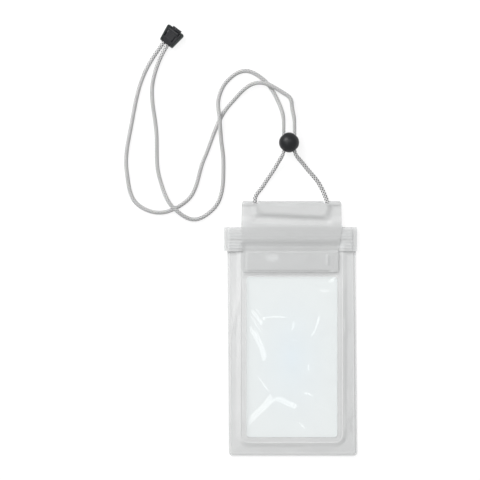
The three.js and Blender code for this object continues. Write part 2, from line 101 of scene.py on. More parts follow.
# %% Grid faces and mesh
def grid_faces(rows, columns, rows_close=False, columns_close=False):
    """The four corner numbers of each cell of a grid of points that is numbered row by row."""
    row = np.arange(rows if rows_close else rows - 1)[:, None]
    column = np.arange(columns if columns_close else columns - 1)[None, :]
    next_row = (row + 1) % rows * columns
    next_column = (column + 1) % columns
    here = row * columns
    near = [here + column, here + next_column]
    far = [next_row + next_column, next_row + column]
    return np.stack(np.broadcast_arrays(*near, *far), axis=-1)


def make_piece(name, points, faces, body="pouch", smooth=True):
    """A mesh object from an array of points and a list of corner numbers, riding on a body of the model."""
    mesh = bpy.data.meshes.new(name)
    mesh.from_pydata(np.reshape(points, (-1, 3)).tolist(), [], faces)
    mesh.polygons.foreach_set("use_smooth", np.full(len(mesh.polygons), smooth))
    mesh.validate()
    piece = bpy.data.objects.new(name, mesh)
    bpy.context.scene.collection.objects.link(piece)
    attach(piece, body)
    return piece


def closed_tube(rings):
    """Faces of rings of points, one after another, with a flat cap on each end."""
    count, around = rings.shape[:2]
    sides = grid_faces(count, around, columns_close=True).reshape(-1, 4)
    first = list(range(around))[::-1]
    last = list(range((count - 1) * around, count * around))
    return sides.tolist() + [first, last]


print("a grid of 3 by 4 points has", grid_faces(3, 4).size // 4, "faces")

# %% [markdown]
# ## Where the clip lies
# The clip lies turned beside the pouch, at the end of the cord. A place on it is measured from the
# middle of its mouth, across it and along it, and one function turns that into a place on the table.
# The ends of the cord and the clip's lid both need it.

# %% Place of the clip
clip_turn = math.radians(-36.5)
clip_mouth = (-102.0 * mm, 233.2 * mm)
clip_cord_height = 3.0 * mm
left_strand = -2.35 * mm
right_strand = 1.35 * mm
inside_clip = 4.4 * mm


def from_clip(across, along, height):
    """A place measured from the middle of the clip's mouth, across it and along it."""
    x = clip_mouth[0] + across * math.cos(clip_turn) - along * math.sin(clip_turn)
    y = clip_mouth[1] + across * math.sin(clip_turn) + along * math.cos(clip_turn)
    return (x, y, height)


out_of_clip = (math.sin(clip_turn), -math.cos(clip_turn), 0)
into_clip = (-math.sin(clip_turn), math.cos(clip_turn), 0)
print("clip turned by degrees:", round(math.degrees(clip_turn), 1))

# %% [markdown]
# ## The cord's route
# One cord of 3 mm runs from the clip, down its outer loop, through the ball, through the fold of the
# flap and back up its inner loop to the clip. Its points are those of the model. Between each two lies
# a cubic Bezier span whose handles are a third of the span long. A point with no heading of its own
# takes the one that a circle through it and its neighbours would have there, and stays level where the
# cord lies on the table.

# %% Cord route
cord_diameter = 3.0 * mm
lift = 0.05 * mm
crossing_gap = 0.35 * mm
lying = cord_diameter / 2 + lift
crossing = lying + cord_diameter + crossing_gap
in_flap = 2.05 * mm
ball_low, ball_high = (np.array(corner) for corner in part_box("ball_stopper"))
ball_middle = (ball_low + ball_high) / 2
bore_half = 4.45 * mm
bore_left = ball_middle[0] - bore_half
bore_right = ball_middle[0] + bore_half
bore_height = ball_middle[2]
straight_top = 168.25 * mm
straight_bottom = 146.35 * mm

down = (0, -1, 0)
up = (0, 1, 0)
leftwards = (-1, 0, 0)
towards_the_ball = (5, -3, 0)
cord_points = [
    (*from_clip(left_strand, inside_clip, clip_cord_height), out_of_clip),
    (-0.1192, 0.2104, lying),
    (-0.1300, 0.1693, lying),
    (-0.1342, 0.1284, lying),
    (-0.1256, 0.1021, lying),
    (-0.1097, 0.0952, lying),
    (-0.0850, 0.1049, lying),
    (-0.0709, 0.1390, lying),
    (-0.0489, 0.1846, lying),
    (-0.0274, 0.2012, crossing),
    (-0.0031, 0.1912, 0.0050, towards_the_ball),
    (0.0009, 0.1840, 0.0055, down),
    (bore_right, straight_top, bore_height, down),
    (bore_right, straight_bottom, bore_height, down),
    (0.0111, 0.1339, 0.0042),
    (0.0232, 0.1189, 0.0018),
    (0.0298, 0.1045, in_flap),
    (0.0320, 0.0976, in_flap),
    (0.0245, 0.0918, in_flap, leftwards),
    (-0.0215, 0.0938, in_flap, leftwards),
    (-0.0293, 0.1045, in_flap),
    (-0.0217, 0.1182, 0.0018),
    (-0.0112, 0.1344, 0.0042),
    (bore_left, straight_bottom, bore_height, up),
    (bore_left, straight_top, bore_height, up),
    (-0.0107, 0.1870, 0.0029),
    (-0.0234, 0.2050, lying),
    (-0.0368, 0.2112, lying),
    (-0.0521, 0.2027, lying),
    (-0.0592, 0.1866, 0.0022),
    (-0.0582, 0.1724, crossing),
    (-0.0568, 0.1543, 0.0024),
    (-0.0550, 0.1358, lying),
    (-0.0639, 0.0975, lying),
    (-0.0783, 0.0895, 0.0022),
    (-0.0949, 0.0980, crossing),
    (-0.1075, 0.1240, lying),
    (-0.1099, 0.1600, lying),
    (-0.1127, 0.2030, lying),
    (*from_clip(right_strand, inside_clip, clip_cord_height), into_clip),
]
print("points of the route:", len(cord_points))

# %% [markdown]
# ## The cord's curve
# A real cord bends evenly, so the curve through the points has no kinks: each span leaves a point in
# the heading in which the last one arrived. All spans are worked out at once, and then the curve is cut
# anew into even steps, because the braid repeats at an even pitch.

# %% Cord curve
def unit(vectors):
    """The same directions, each one metre long."""
    return vectors / np.linalg.norm(vectors, axis=-1, keepdims=True)


def cord_curve(points, steps_per_span):
    """Points along the route: a cubic Bezier curve on each span, all spans at once."""
    places = np.array([point[:3] for point in points])
    spans = np.diff(places, axis=0)
    into = np.vstack([spans[:1], spans])
    out = np.vstack([spans, spans[-1:]])
    length_in = np.linalg.norm(into, axis=1, keepdims=True)
    length_out = np.linalg.norm(out, axis=1, keepdims=True)
    circle = unit(into) * length_out + unit(out) * length_in
    circle[places[:, 2] == lying, 2] = 0
    given = np.array([point[3] if len(point) > 3 else (math.nan,) * 3 for point in points])
    headings = unit(np.where(np.isnan(given), circle, given))
    third = np.linalg.norm(spans, axis=1, keepdims=True) / 3
    start, end = places[:-1, None], places[1:, None]
    leave = start + (headings[:-1] * third)[:, None]
    arrive = end - (headings[1:] * third)[:, None]
    t = np.linspace(0, 1, steps_per_span, endpoint=False)[None, :, None]
    s = 1 - t
    curve = s**3 * start + 3 * s**2 * t * leave + 3 * s * t**2 * arrive + t**3 * end
    return np.vstack([curve.reshape(-1, 3), places[-1:]])


def length_along(path):
    """How far along a path of straight stretches each of its points is."""
    return np.concatenate([[0], np.cumsum(np.linalg.norm(np.diff(path, axis=0), axis=1))])


def evenly_spaced(line, step):
    """The same line with its points a step apart, and how far along it each of them is."""
    along = length_along(line)
    distance = np.linspace(0, along[-1], int(round(along[-1] / step)) + 1)
    places = np.stack([np.interp(distance, along, line[:, axis]) for axis in range(3)], axis=1)
    return places, distance


ring_step = 0.28 * mm
cord_line, cord_distance = evenly_spaced(cord_curve(cord_points, 60), ring_step)

# %% [markdown]
# ## The braid
# The cord is a round braid: half of its yarn bundles wind one way, half the other, and each passes over
# one and under the next. A plain tube with a pattern would stay smooth at its outline, so the bundles
# are real relief. With A and B counting the bundles of the two windings, the braid stands at cos2(A)
# where the first winding is on top and at cos2(B) where the second is, and the product of the two
# cosines says which one that is. The real bundles are finer; they are drawn at 2.4 mm so that they show
# from two metres. Where the cord lies down it is pressed flat, and in the ball's bores it is squeezed.

# %% Braid
bundles = 4
bundle_pitch = 2.4 * mm
braid_radius = 1.86 * mm
squeezed = 0.2 * mm
squeezed_below_ball = 3 * mm
squeezed_above_ball = 11 * mm
rings_of_fade = 15
braid_depth = 0.42 * mm
cord_sides = 24


def braid_height(turns, distance):
    """0 in the gaps to 1 on top: half of cos2(A)(1 + q) + cos2(B)(1 - q), where q is cos(A) cos(B)."""
    first = np.cos(np.pi * (bundles * turns + distance / bundle_pitch))
    second = np.cos(np.pi * (bundles * turns - distance / bundle_pitch))
    over = first * second
    return (first**2 * (1 + over) + second**2 * (1 - over)) / 2


def tube_rings(line, radii):
    """Rings round a line that never runs upright. Each point is the line plus the radius times a direction:
    cosine times the side, which is level and square to the line, plus sine times the one above it."""
    along = unit(np.gradient(line, axis=0))
    side = unit(np.cross((0, 0, 1), along))
    above = np.cross(along, side)
    angle = np.linspace(0, 2 * np.pi, radii.shape[1], endpoint=False)[None, :, None]
    outwards = np.cos(angle) * side[:, None] + np.sin(angle) * above[:, None]
    return line[:, None] + radii[..., None] * outwards


print("bundles of each winding:", bundles, "pitch in mm:", round(bundle_pitch / mm, 1))

# %% [markdown]
# ## The braided cord
# The rings stand on the cord's even steps. Their radius is that of the braid, less its depth in the
# gaps and less the squeeze near the ball. The piece gets a UV map of turns and metres, which its
# material reads.

# %% Braided cord
turns = np.linspace(0, 1, cord_sides, endpoint=False)[None, :]
by_the_ball = cord_line[:, 1] > ball_low[1] - squeezed_below_ball
by_the_ball &= cord_line[:, 1] < ball_high[1] + squeezed_above_ball
by_the_ball &= np.abs(cord_line[:, 0] - ball_middle[0]) < 2 * bore_half
squeeze = np.convolve(by_the_ball, np.ones(rings_of_fade) / rings_of_fade, mode="same")
radii = braid_radius - braid_depth * (1 - braid_height(turns, cord_distance[:, None]))
radii = radii - squeezed * squeeze[:, None]
cord_rings = tube_rings(cord_line, radii)
cord_rings[..., 2] = np.maximum(cord_rings[..., 2], 0.03 * mm)
cord_piece = make_piece("braided_cord", cord_rings, closed_tube(cord_rings))


def add_tube_map(piece, rows, columns, distance):
    """A UV map for a closed tube: U counts turns round it and V is the distance along it in metres."""
    column = np.broadcast_to(np.arange(columns)[None, :, None], (rows - 1, columns, 4))
    row = np.broadcast_to(np.arange(rows - 1)[:, None, None], (rows - 1, columns, 4))
    across = (column + np.array([0, 1, 1, 0])) / columns
    along = distance[row + np.array([0, 0, 1, 1])]
    sides = np.stack([across, along], axis=-1).reshape(-1, 2)
    caps = np.zeros((2 * columns, 2))
    layer = piece.data.uv_layers.new(name="around_and_along")
    layer.data.foreach_set("uv", np.vstack([sides, caps]).ravel())


add_tube_map(cord_piece, len(cord_line), cord_sides, cord_distance)
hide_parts("neck_cord")
print("braided cord:", len(cord_piece.data.polygons), "faces")

# %% [markdown]
# ## Shape tools
# The sheets get their look from small heights: weld lines, folds, a swell of trapped air. Each is a
# formula of the place in plan. Three tools say where a height applies: a smooth step, a soft ridge over
# a line, and the distance to a rectangle with rounded corners, which follows a frame all the way round.
# Four more set out the grids: how far a rounded corner pulls a side in, where the grid lines stand, how
# to follow a path, and the half circle of a fold.

# %% Shape tools
def ease(value, start, end):
    """0 before start, 1 after end, and a smooth S between them: t squared times 3 - 2t."""
    t = np.clip((value - start) / (end - start), 0, 1)
    return t * t * (3 - 2 * t)


def ridge(distance, width):
    """A soft ridge, 1 high where the distance is 0: e to the minus of distance over width, squared."""
    return np.exp(-((distance / width) ** 2))


def outside(x, y, low, high, radius):
    """How far each point lies outside a rectangle with rounded corners, and below 0 how far inside."""
    gap_x = np.abs(x - (low[0] + high[0]) / 2) - (high[0] - low[0]) / 2 + radius
    gap_y = np.abs(y - (low[1] + high[1]) / 2) - (high[1] - low[1]) / 2 + radius
    beyond = np.hypot(np.maximum(gap_x, 0), np.maximum(gap_y, 0))
    return beyond + np.minimum(np.maximum(gap_x, gap_y), 0) - radius


def corner_pull(distance, radius):
    """How far a rounded corner draws the side in, at a distance from the corner's end: a quarter circle."""
    left = np.clip(radius - distance, 0, radius)
    return radius - np.sqrt(radius**2 - left**2)


def lines(stops, steps):
    """Places of grid lines: even steps of about the given size from each stop to the next."""
    stretches = [
        np.linspace(start, end, max(int(round((end - start) / step)), 1), endpoint=False)
        for start, end, step in zip(stops[:-1], stops[1:], steps)
    ]
    return np.concatenate(stretches + [[stops[-1]]])


def follow(path, distance):
    """Places at these distances along a path of straight stretches."""
    along = length_along(path)
    return np.stack([np.interp(distance, along, places) for places in path.T], axis=-1)


def half_circle(middle, low, high, steps=24):
    """Y and Z points of a sheet's fold: from its lower leg round the far side to its upper leg."""
    radius = (high - low) / 2
    angle = np.linspace(-np.pi / 2, np.pi / 2, steps)
    return np.stack([middle + radius * np.cos(angle), low + radius + radius * np.sin(angle)], axis=1)


print("a step from 0 to 1, at its quarters:", ease(np.linspace(0, 1, 5), 0, 1).round(2))

# %% [markdown]
# ## Sizes of the pouch
# The places come from the boxes of the solids, so that each new sheet lies where its solid is. The
# window's edge is the stated opening grown by its clearance. Heights are those of a sheet's middle
# surface, because the wall is added evenly to both sides at the end.

# %% Sizes of the pouch
def box_of(node):
    """Lowest and highest corner of a solid, as arrays."""
    low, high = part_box(node)
    return np.array(low), np.array(high)


back_low, back_high = box_of("back_panel")
inner_high = box_of("front_panel")[1]
film_low, film_high = box_of("front_film")
back_film_low, back_film_high = box_of("back_film")
flap_low, flap_high = box_of("flap")
loop_low, loop_high = box_of("loop_pad")
hook_low, hook_high = box_of("hook_pad")

flap_end = flap_low[1]
sheet = 0.4 * mm
layer_gap = 0.1 * mm
bottom = back_low[1]
fold = back_high[1]
mouth_length = 19.8 * mm
mouth = fold - mouth_length
ramp_clearance = 2.4 * mm
ramp_length = 4.0 * mm
ramp_start = mouth + ramp_clearance
ramp_end = ramp_start + ramp_length
body_width = 105.4 * mm
body_lean = 1.3 * mm
body_radius = 3.6 * mm
flap_top_offset = 0.4 * mm
top_middle = (flap_low[0] + flap_high[0]) / 2 + flap_top_offset
bar_middle = (back_low[0] + back_high[0]) / 2
bar_width = back_high[0] - back_low[0]
opening_low, opening_high = (np.array(c) for c in frame["record"]["physics"]["openings"][0]["box_m"])
opening_clearance = 0.7 * mm
window_low = opening_low[:2] - opening_clearance
window_high = opening_high[:2] + opening_clearance
window_radius = 2.2 * mm
film_wall = back_film_high[2] - back_film_low[2]
front_rest = film_low[2] + film_wall + layer_gap + sheet / 2
back_rest = sheet / 2
back_upper = sheet + layer_gap + sheet / 2
front_upper = back_upper + sheet + layer_gap
front_folded = inner_high[2] - sheet / 2
bar_top = back_high[2] - sheet / 2
patch_middle = (loop_low[0] + loop_high[0]) / 2
patch_half = (loop_high[0] - loop_low[0]) / 2
print("window in mm:", (window_low / mm).round(1), (window_high / mm).round(1))
print("top of the bar in mm:", round(bar_top / mm, 2))


def middle_at(y):
    """X of the pouch's middle line: it leans a little to the right towards the bottom."""
    down_the_body = np.clip((mouth - y) / (mouth - bottom), 0, 1)
    return top_middle + body_lean * down_the_body


# %% [markdown]
# ## The swell of the front
# Air lies between the front and the back, so the front panel stands up a little from its welded rim to
# the frame that is welded round the window. Seen from above this is what draws the case: slopes that
# face the lamp are light and those that face away are dark. The height is a sum of named steps and
# ridges, each a function of the distance to the rim or to the window, plus three slow waves that keep
# the soft sheet from looking cut in steel. The frame's sides run on up to the bar. Between them the
# panel lies down under the hook-and-loop patch, and it lifts a little towards the flap's end, which
# keeps that strip in shade.

# %% Waves and folds
wave_height = 0.16 * mm


def waves(x, y):
    """Three slow waves crossing each other, in metres of height around 0."""
    first = np.sin(x / (7.1 * mm) + y / (11.3 * mm))
    second = np.sin(y / (8.7 * mm) - x / (16.0 * mm) + 1.3)
    third = np.sin(x / (4.9 * mm) - y / (23.0 * mm) + 0.7)
    return wave_height * (first + second + 0.6 * third) / 2


def bowed_line(x, y, start, end, bend):
    """Two measures of a place against a line from start to end, in mm, that bows out by bend: the distance
    off the bowed line, more to its left, and a share that is 1 along it and eases to 0 at both ends."""
    start, end = np.array(start) * mm, np.array(end) * mm
    length = np.hypot(*(end - start))
    along = (end - start) / length
    t = ((x - start[0]) * along[0] + (y - start[1]) * along[1]) / length
    off_line = (x - start[0]) * -along[1] + (y - start[1]) * along[0] - 4 * bend * mm * t * (1 - t)
    return off_line, ease(t, -0.05, 0.3) * (1 - ease(t, 0.7, 1.05))


def soft_fold(x, y, start, end, bend, width, height):
    """A ridge over a bowed line: its height falls off with the distance to the line, over its width."""
    off_line, ends = bowed_line(x, y, start, end, bend)
    return height * mm * ends * ridge(off_line, width * mm)


# Start, end, bend, width and height in mm of the soft folds in the border
border_folds = [
    ((-43.0, 27.0), (-50.5, -8.0), 1.0, 2.8, 0.6),
    ((-44.0, -2.0), (-49.0, -34.0), -1.0, 3.2, 0.25),
    ((44.5, 11.0), (45.5, -6.0), 0.0, 3.0, 0.35),
    ((46.0, -66.0), (46.0, -86.0), 0.0, 3.2, 0.35),
    ((6.0, -99.5), (40.0, -98.5), 0.5, 2.6, 0.25),
]
fold_below_bar = ((36.0, 67.0), (52.5, 67.0), 0.0, 4.5, 0.5)
print("soft folds:", len(border_folds) + 1, "waves in mm:", round(wave_height / mm, 2))

# %% [markdown]
# ## Rim, slope and frame
# On the real pouch three welds shape the front: the rim, where front and back are joined, the window's
# edge, and a seam round the window's frame. Between them lie a border that rises a little and a slope
# up to the frame. One function adds these steps, and another says how the swell ends towards the bar.

# %% Height of the front
weld_width = 0.4 * mm
weld_bead = 0.1 * mm
rim_inset = 1.8 * mm
rim_step = 0.25 * mm
border_rise = 0.35 * mm
border_run = (2 * mm, 9 * mm)
frame_width = 4.0 * mm
frame_slope = 4.6 * mm
frame_rise = 1.05 * mm
seam_bead = 0.14 * mm
seam_groove = 0.12 * mm
window_top = window_high[1] + 0.2 * mm
fade_above_window = 24.2 * mm
fade_spread = 9 * mm
spread_run = (32 * mm, 46 * mm)
patch_fade = (0.3 * mm, 4.4 * mm)
side_sink = 0.35
side_sink_run = (30 * mm, 44 * mm)
end_lift = 1.25 * mm


def towards_the_bar(x, y):
    """The share of the swell that is left at a place, and a height to add. In the middle the swell fades out
    above the window and the panel lifts to the flap's end; beside the patch the swell runs on to the bar."""
    spread = fade_spread * (1 - ease(y, *spread_run))
    off_patch = np.abs(x - patch_middle) - patch_half
    beside = ease(off_patch, patch_fade[0] - spread, patch_fade[1])
    in_middle = 1 - ease(y, window_top - fade_above_window, window_top)
    up_to_bar = 1 - ease(y, mouth - 1.2 * mm, ramp_start)
    at_sides = (1 - side_sink * ease(y, *side_sink_run)) * up_to_bar
    lifted = ease(y, window_top, flap_end + 0.5 * mm) * (1 - ease(y, flap_end + 0.6 * mm, hook_low[1]))
    added = soft_fold(x, y, *fold_below_bar) * up_to_bar + end_lift * lifted * (1 - beside)
    return in_middle + (at_sides - in_middle) * beside, added


def front_height(x, y):
    """Height of the front panel over its rest: steps and ridges at the rim, the window and its frame."""
    body_low = (-body_width / 2, bottom)
    body_high = (body_width / 2, 2 * fold)
    from_rim = -outside(x - middle_at(y), y, body_low, body_high, body_radius)
    from_window = outside(x, y, window_low, window_high, window_radius)
    from_frame = outside(x, y, window_low, (window_high[0], 2 * fold), window_radius) - frame_width
    rim = rim_step * ease(from_rim, 0.8 * rim_inset, 1.2 * rim_inset)
    rim = rim + weld_bead * ridge(from_rim - 1.25 * rim_inset, weld_width)
    border = border_rise * ease(from_rim, *border_run)
    slope = frame_rise * (1 - ease(from_frame, weld_width, frame_slope))
    seam = seam_bead * ridge(from_frame - 0.5 * mm, weld_width)
    seam = seam - seam_groove * ridge(from_frame + 0.6 * mm, weld_width)
    lip = weld_bead * ridge(from_window, 0.5 * mm)
    folds = sum(soft_fold(x, y, *line) for line in border_folds) * ease(from_window, 4 * mm, 7 * mm)
    swell = slope + border + seam + (waves(x, y) + folds) * ease(from_rim, 2 * mm, 7 * mm)
    share, added = towards_the_bar(x, y)
    return rim + swell * share + lip + added


beside_window = front_height(np.array([window_high[0] + frame_width / 2]), np.array([0.0]))
print("the frame stands up in mm:", round(float(beside_window[0]) / mm, 2))

# %% [markdown]
# ## Rows and columns of a panel
# A panel's grid has columns across and rows along the sheet, finer where a weld line or a fold passes.
# The columns are set in three blocks, left border, window and right border, so that a line of the grid
# is the window's edge and the cells between are simply left out.

# %% Rows and columns of a panel
border_width = (body_width - (window_high[0] - window_low[0])) / 2
# Columns of the border lie close together at the weld near the rim and at the seam of the frame
border_lines = lines(
    np.array([0, 3.2, 8.5, 13.6]) * mm / border_width,
    np.array([0.22, 0.9, 0.28]) * mm / border_width,
)
border_lines = np.append(border_lines, np.linspace(border_lines[-1], 1, 4)[1:])
window_lines = np.linspace(0, 1, 25)


def across_the_body(y, folded):
    """X of every grid column at each height y: three blocks between the edges and the window's sides. Folded
    is 1 on the leg over the bar, where the sheet is as wide as the mouth."""
    on_bar = np.maximum(ease(y, mouth, ramp_end), folded)
    middle = middle_at(y) * (1 - on_bar) + bar_middle * on_bar
    half = (body_width * (1 - on_bar) + bar_width * on_bar) / 2
    half = half - corner_pull(y - bottom, body_radius)
    inside_window = np.minimum(y - window_low[1], window_high[1] - y)
    beside = window_radius * (1 - ease(-inside_window, 0, 3 * mm))
    pull = np.where(inside_window < 0, beside, corner_pull(inside_window, window_radius))
    left = (middle - half)[:, None]
    right = (middle + half)[:, None]
    window_left = (window_low[0] + pull)[:, None]
    window_right = (window_high[0] - pull)[:, None]
    return np.hstack([
        left + border_lines[:-1] * (window_left - left),
        window_left + window_lines * (window_right - window_left),
        right + border_lines[:-1][::-1] * (window_right - right),
    ])


def panel_rows():
    """Heights y of the rows below the ramp, with fine rows at rim, frame and window corners."""
    low, high = window_low[1], window_high[1]
    stops = [bottom, bottom + 3.2 * mm, low - 6.8 * mm, low - 2.4 * mm, low, low + 2.4 * mm]
    steps = [0.22, 0.9, 0.28, 0.6, 0.4]
    stops += [high - 2.4 * mm, high, high + 6 * mm, ramp_start]
    steps += [2.4, 0.4, 0.5, 2.0]
    return lines(stops, np.array(steps) * mm)


print("columns:", 2 * (len(border_lines) - 1) + len(window_lines), "rows below the ramp:", len(panel_rows()))

# %% [markdown]
# ## A sheet with a wall
# Each sheet is worked out as a surface without thickness. The Solidify modifier then gives it its wall,
# half to each side, and the modifier is applied at once, so that its mesh is the finished one.

# %% Sheet with a wall
def sheet_piece(name, points, kept, thickness, node):
    """A sheet from a grid of middle points: cells that aren't kept are left out, and a wall is added."""
    faces = grid_faces(*points.shape[:2])[kept]
    piece = make_piece(name, points, faces.tolist())
    wall = piece.modifiers.new("wall", "SOLIDIFY")
    wall.thickness = thickness
    wall.offset = 0
    finish_mesh(piece)
    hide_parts(node)
    print(name, "faces:", len(piece.data.polygons))
    return piece


def finish_mesh(piece, sharp_degrees=40):
    """Makes the shape that the modifiers give the mesh itself, and keeps the edges over this angle sharp."""
    bpy.context.view_layer.update()
    shaped = piece.evaluated_get(bpy.context.evaluated_depsgraph_get())
    mesh = bpy.data.meshes.new_from_object(shaped)
    piece.modifiers.clear()
    piece.data = mesh
    mesh.set_sharp_from_angle(angle=math.radians(sharp_degrees))


print("wall of a sheet in mm:", round(sheet / mm, 2))

# %% [markdown]
# ## A panel with its window and its fold
# A panel is one sheet of soft vinyl. It runs up the pouch, over a short ramp, and is folded back over
# the mouth. A fold could be bent from a flat sheet with a modifier, but then the window and the welds
# would move with it. So the side view is drawn first and each row is laid at its distance along it.

# %% Panel
def panel(name, node, rest, upper, folded_height, fold_middle, shape, folded_shape):
    """A panel: each row lies at its distance along the side view, a rest, a ramp, a half circle and a folded
    leg. The heights of both legs are added, fade out up the ramp, and the window is left out."""
    path = np.vstack([
        [(bottom, rest), (ramp_start, rest), (ramp_end, upper)],
        half_circle(fold_middle, upper, folded_height),
        [(mouth, folded_height)],
    ])
    rows = panel_rows() - bottom
    ramp = math.hypot(ramp_end - ramp_start, upper - rest)
    legs = np.array([rows[-1], rows[-1] + ramp, rows[-1] + ramp + fold_middle - ramp_end])
    arc = math.pi * (folded_height - upper) / 2
    far = legs[-1] + arc + fold_middle - mouth
    # Steps on the ramp, on the leg under the bar, round the half circle and on the folded leg
    steps = np.array([0.8, 1.5, 0.25, 0.3]) * mm
    rest_rows = lines([*legs, legs[-1] + arc, far], steps)
    distance = np.concatenate([rows, rest_rows[1:]])
    y, z = follow(path, distance).T
    folded = (distance > legs[-1]).astype(float)
    x = across_the_body(y, folded)
    y = np.broadcast_to(y[:, None], x.shape)
    relief = np.where(folded[:, None] > 0, folded_shape(x, y), shape(x, y))
    relief = relief * (1 - ease(distance, legs[0], legs[1]) * (distance <= legs[-1]))[:, None]
    points = np.stack([x, y, z[:, None] + relief], axis=-1)
    row_middle = (y[:-1, 0] + y[1:, 0]) / 2
    in_window = (row_middle > window_low[1]) & (row_middle < window_high[1]) & (folded[1:] == 0)
    first = len(border_lines) - 1
    column = np.arange(points.shape[1] - 1)
    in_columns = (column >= first) & (column < first + len(window_lines) - 1)
    kept = ~(in_window[:, None] & in_columns[None, :])
    return sheet_piece(name, points, kept, sheet, node)


print("ramp in mm:", round(ramp_length / mm, 1), "folded leg in mm:", round(mouth_length / mm, 1))

# %% [markdown]
# ## The folded mouth
# Over the mouth the back panel's folded leg is the bar that is seen across the case. Two press strips
# lie inside it. Their edges and their middle lines show through the soft sheet as fine ridges, both
# ends are welded flat, and under the flap the free edge of the bar is pressed down.

# %% Height of the bar
strip_boxes = [box_of(f"press_strip_groove_{pair}") for pair in (1, 2)]
strip_floor = strip_boxes[0][0][2]
strip_middles = [(low[1] + high[1]) / 2 for low, high in strip_boxes]
strip_half = (strip_boxes[0][1][1] - strip_boxes[0][0][1]) / 2
strip_rise = 0.12 * mm
strip_edge = 0.13 * mm
strip_bead = 0.16 * mm
end_weld = 3.3 * mm
end_seam = 0.12 * mm
press_depth = 1.25 * mm
press_run = (67.2 * mm, 73.2 * mm)


def bar_height(x, y):
    """Height of the bar over its rest: ridges along the strips, flat welded ends and a pressed edge."""
    from_end = bar_width / 2 - np.abs(x - bar_middle)
    strips = 0
    for middle in strip_middles:
        off_middle = np.abs(y - middle)
        strips = strips + strip_rise * (1 - ease(off_middle, strip_half - 0.5 * mm, strip_half + 0.5 * mm))
        strips = strips + strip_edge * ridge(off_middle - strip_half, weld_width)
        strips = strips + strip_bead * ridge(off_middle, 0.5 * mm)
    free = ease(from_end, 0.7 * end_weld, 1.3 * end_weld)
    inner_seam = ridge(from_end - 1.45 * end_weld, weld_width)
    outer_seam = ridge(from_end - 0.9 * end_weld, weld_width)
    seam = end_seam * (inner_seam - outer_seam)
    under_flap = 1 - ease(np.abs(x - top_middle), 37 * mm, 44 * mm)
    pressed = press_depth * (1 - ease(y, *press_run)) * under_flap
    return strips * free * (1 - 0.7 * under_flap) + seam - sheet / 2 * (1 - free) - pressed


def no_height(x, y):
    """A sheet that lies flat."""
    return np.zeros_like(x)


print("press strips at y in mm:", [round(float(middle) / mm, 1) for middle in strip_middles])

# %% [markdown]
# ## The two panels
# The back panel lies at the bottom and its fold is the outer one. The front panel lies over the films
# and is folded back inside it, so its half circle is smaller and ends a little lower.

# %% Panels
fold_middle = fold - sheet / 2 - (bar_top - back_upper) / 2
inner_fold_middle = fold_middle - (front_folded - front_upper)
back_panel = panel(
    "back_panel_sheet", "back_panel", back_rest, back_upper, bar_top, fold_middle,
    no_height, bar_height,
)
front_panel = panel(
    "front_panel_sheet", "front_panel", front_rest, front_upper, front_folded, inner_fold_middle,
    front_height, no_height,
)

# %% [markdown]
# ## The clear films
# The window is a clear film behind the cut-out of each panel. Under the panel it follows the panel's
# height. In the window the front film swells with air and carries the marks of having been folded in
# its box. Such a mark shows where the film tilts by 13 to 19 degrees, because there it mirrors a lamp
# into the camera. So each mark is a small tilted facet along a bowed line, and its slope is chosen for
# the lamp on the left or the one at the top.

# %% Height of the front film
window_swell = 0.4 * mm


def tilted_facet(x, y, start, end, bend, width, slope):
    """A facet along a bowed line. Its height is the slope times the distance off the line, d, times e to the
    minus of d over its width to the fourth power, so that it is nearly flat in its middle half."""
    off_line, ends = bowed_line(x, y, start, end, bend)
    return slope * off_line * ends * np.exp(-((off_line / (width * mm)) ** 4))


# Start, end, bend and width in mm, and slope, of each facet in the window
facets = [
    ((-34.0, 17.0), (-20.5, -1.0), 0.8, 3.4, 0.285),
    ((-33.5, 4.5), (-19.0, -33.0), 1.8, 5.0, 0.262),
    ((-25.0, 7.5), (1.5, 7.5), 2.4, 1.9, -0.238),
    ((1.0, 8.5), (-1.5, -3.5), 2.6, 1.8, 0.25),
    ((23.5, 15.5), (13.0, -11.0), 3.0, 2.3, 0.265),
    ((-32.0, -33.0), (-15.5, -55.0), 0.5, 2.0, 0.28),
    ((-12.5, -54.0), (-36.0, -77.0), 0.5, 5.4, 0.32),
    ((-15.0, -55.0), (9.5, -67.5), 0.5, 5.0, -0.315),
    ((4.0, -75.0), (14.0, -84.0), 0.3, 1.8, -0.335),
    ((8.5, -51.5), (20.5, -56.5), 0.6, 2.2, -0.28),
    ((23.5, 31.5), (31.5, 30.0), 0.3, 1.8, -0.245),
    ((0.0, -9.0), (6.5, -10.3), 0.3, 1.9, -0.25),
    ((12.4, 5.0), (14.6, -1.5), 0.3, 1.9, 0.26),
    ((14.0, -27.5), (15.0, -36.0), 0.3, 1.7, 0.26),
]


def film_height(x, y):
    """Height of the front film over its rest: the panel's height, and swell and facets in the window."""
    into_window = -outside(x, y, window_low, window_high, window_radius)
    marks = sum(tilted_facet(x, y, *line) for line in facets) * ease(into_window, 0, 3 * mm)
    bulge = window_swell * ease(into_window, -0.5 * mm, 6 * mm)
    ripple = 0.8 * waves(x, y) * ease(into_window, 0, 5 * mm)
    return front_height(x, y) + bulge + marks + ripple


print("facets in the window:", len(facets))

# %% [markdown]
# ## The two films
# Front and back film have the pouch's outline, a little inside its edge, and stop below the ramp. The
# front film's grid is fine in the window, where the facets are, and coarse round it, where only the
# frosted panel is seen.

# %% Films
film_inset = 0.6 * mm
fine_share = 0.72


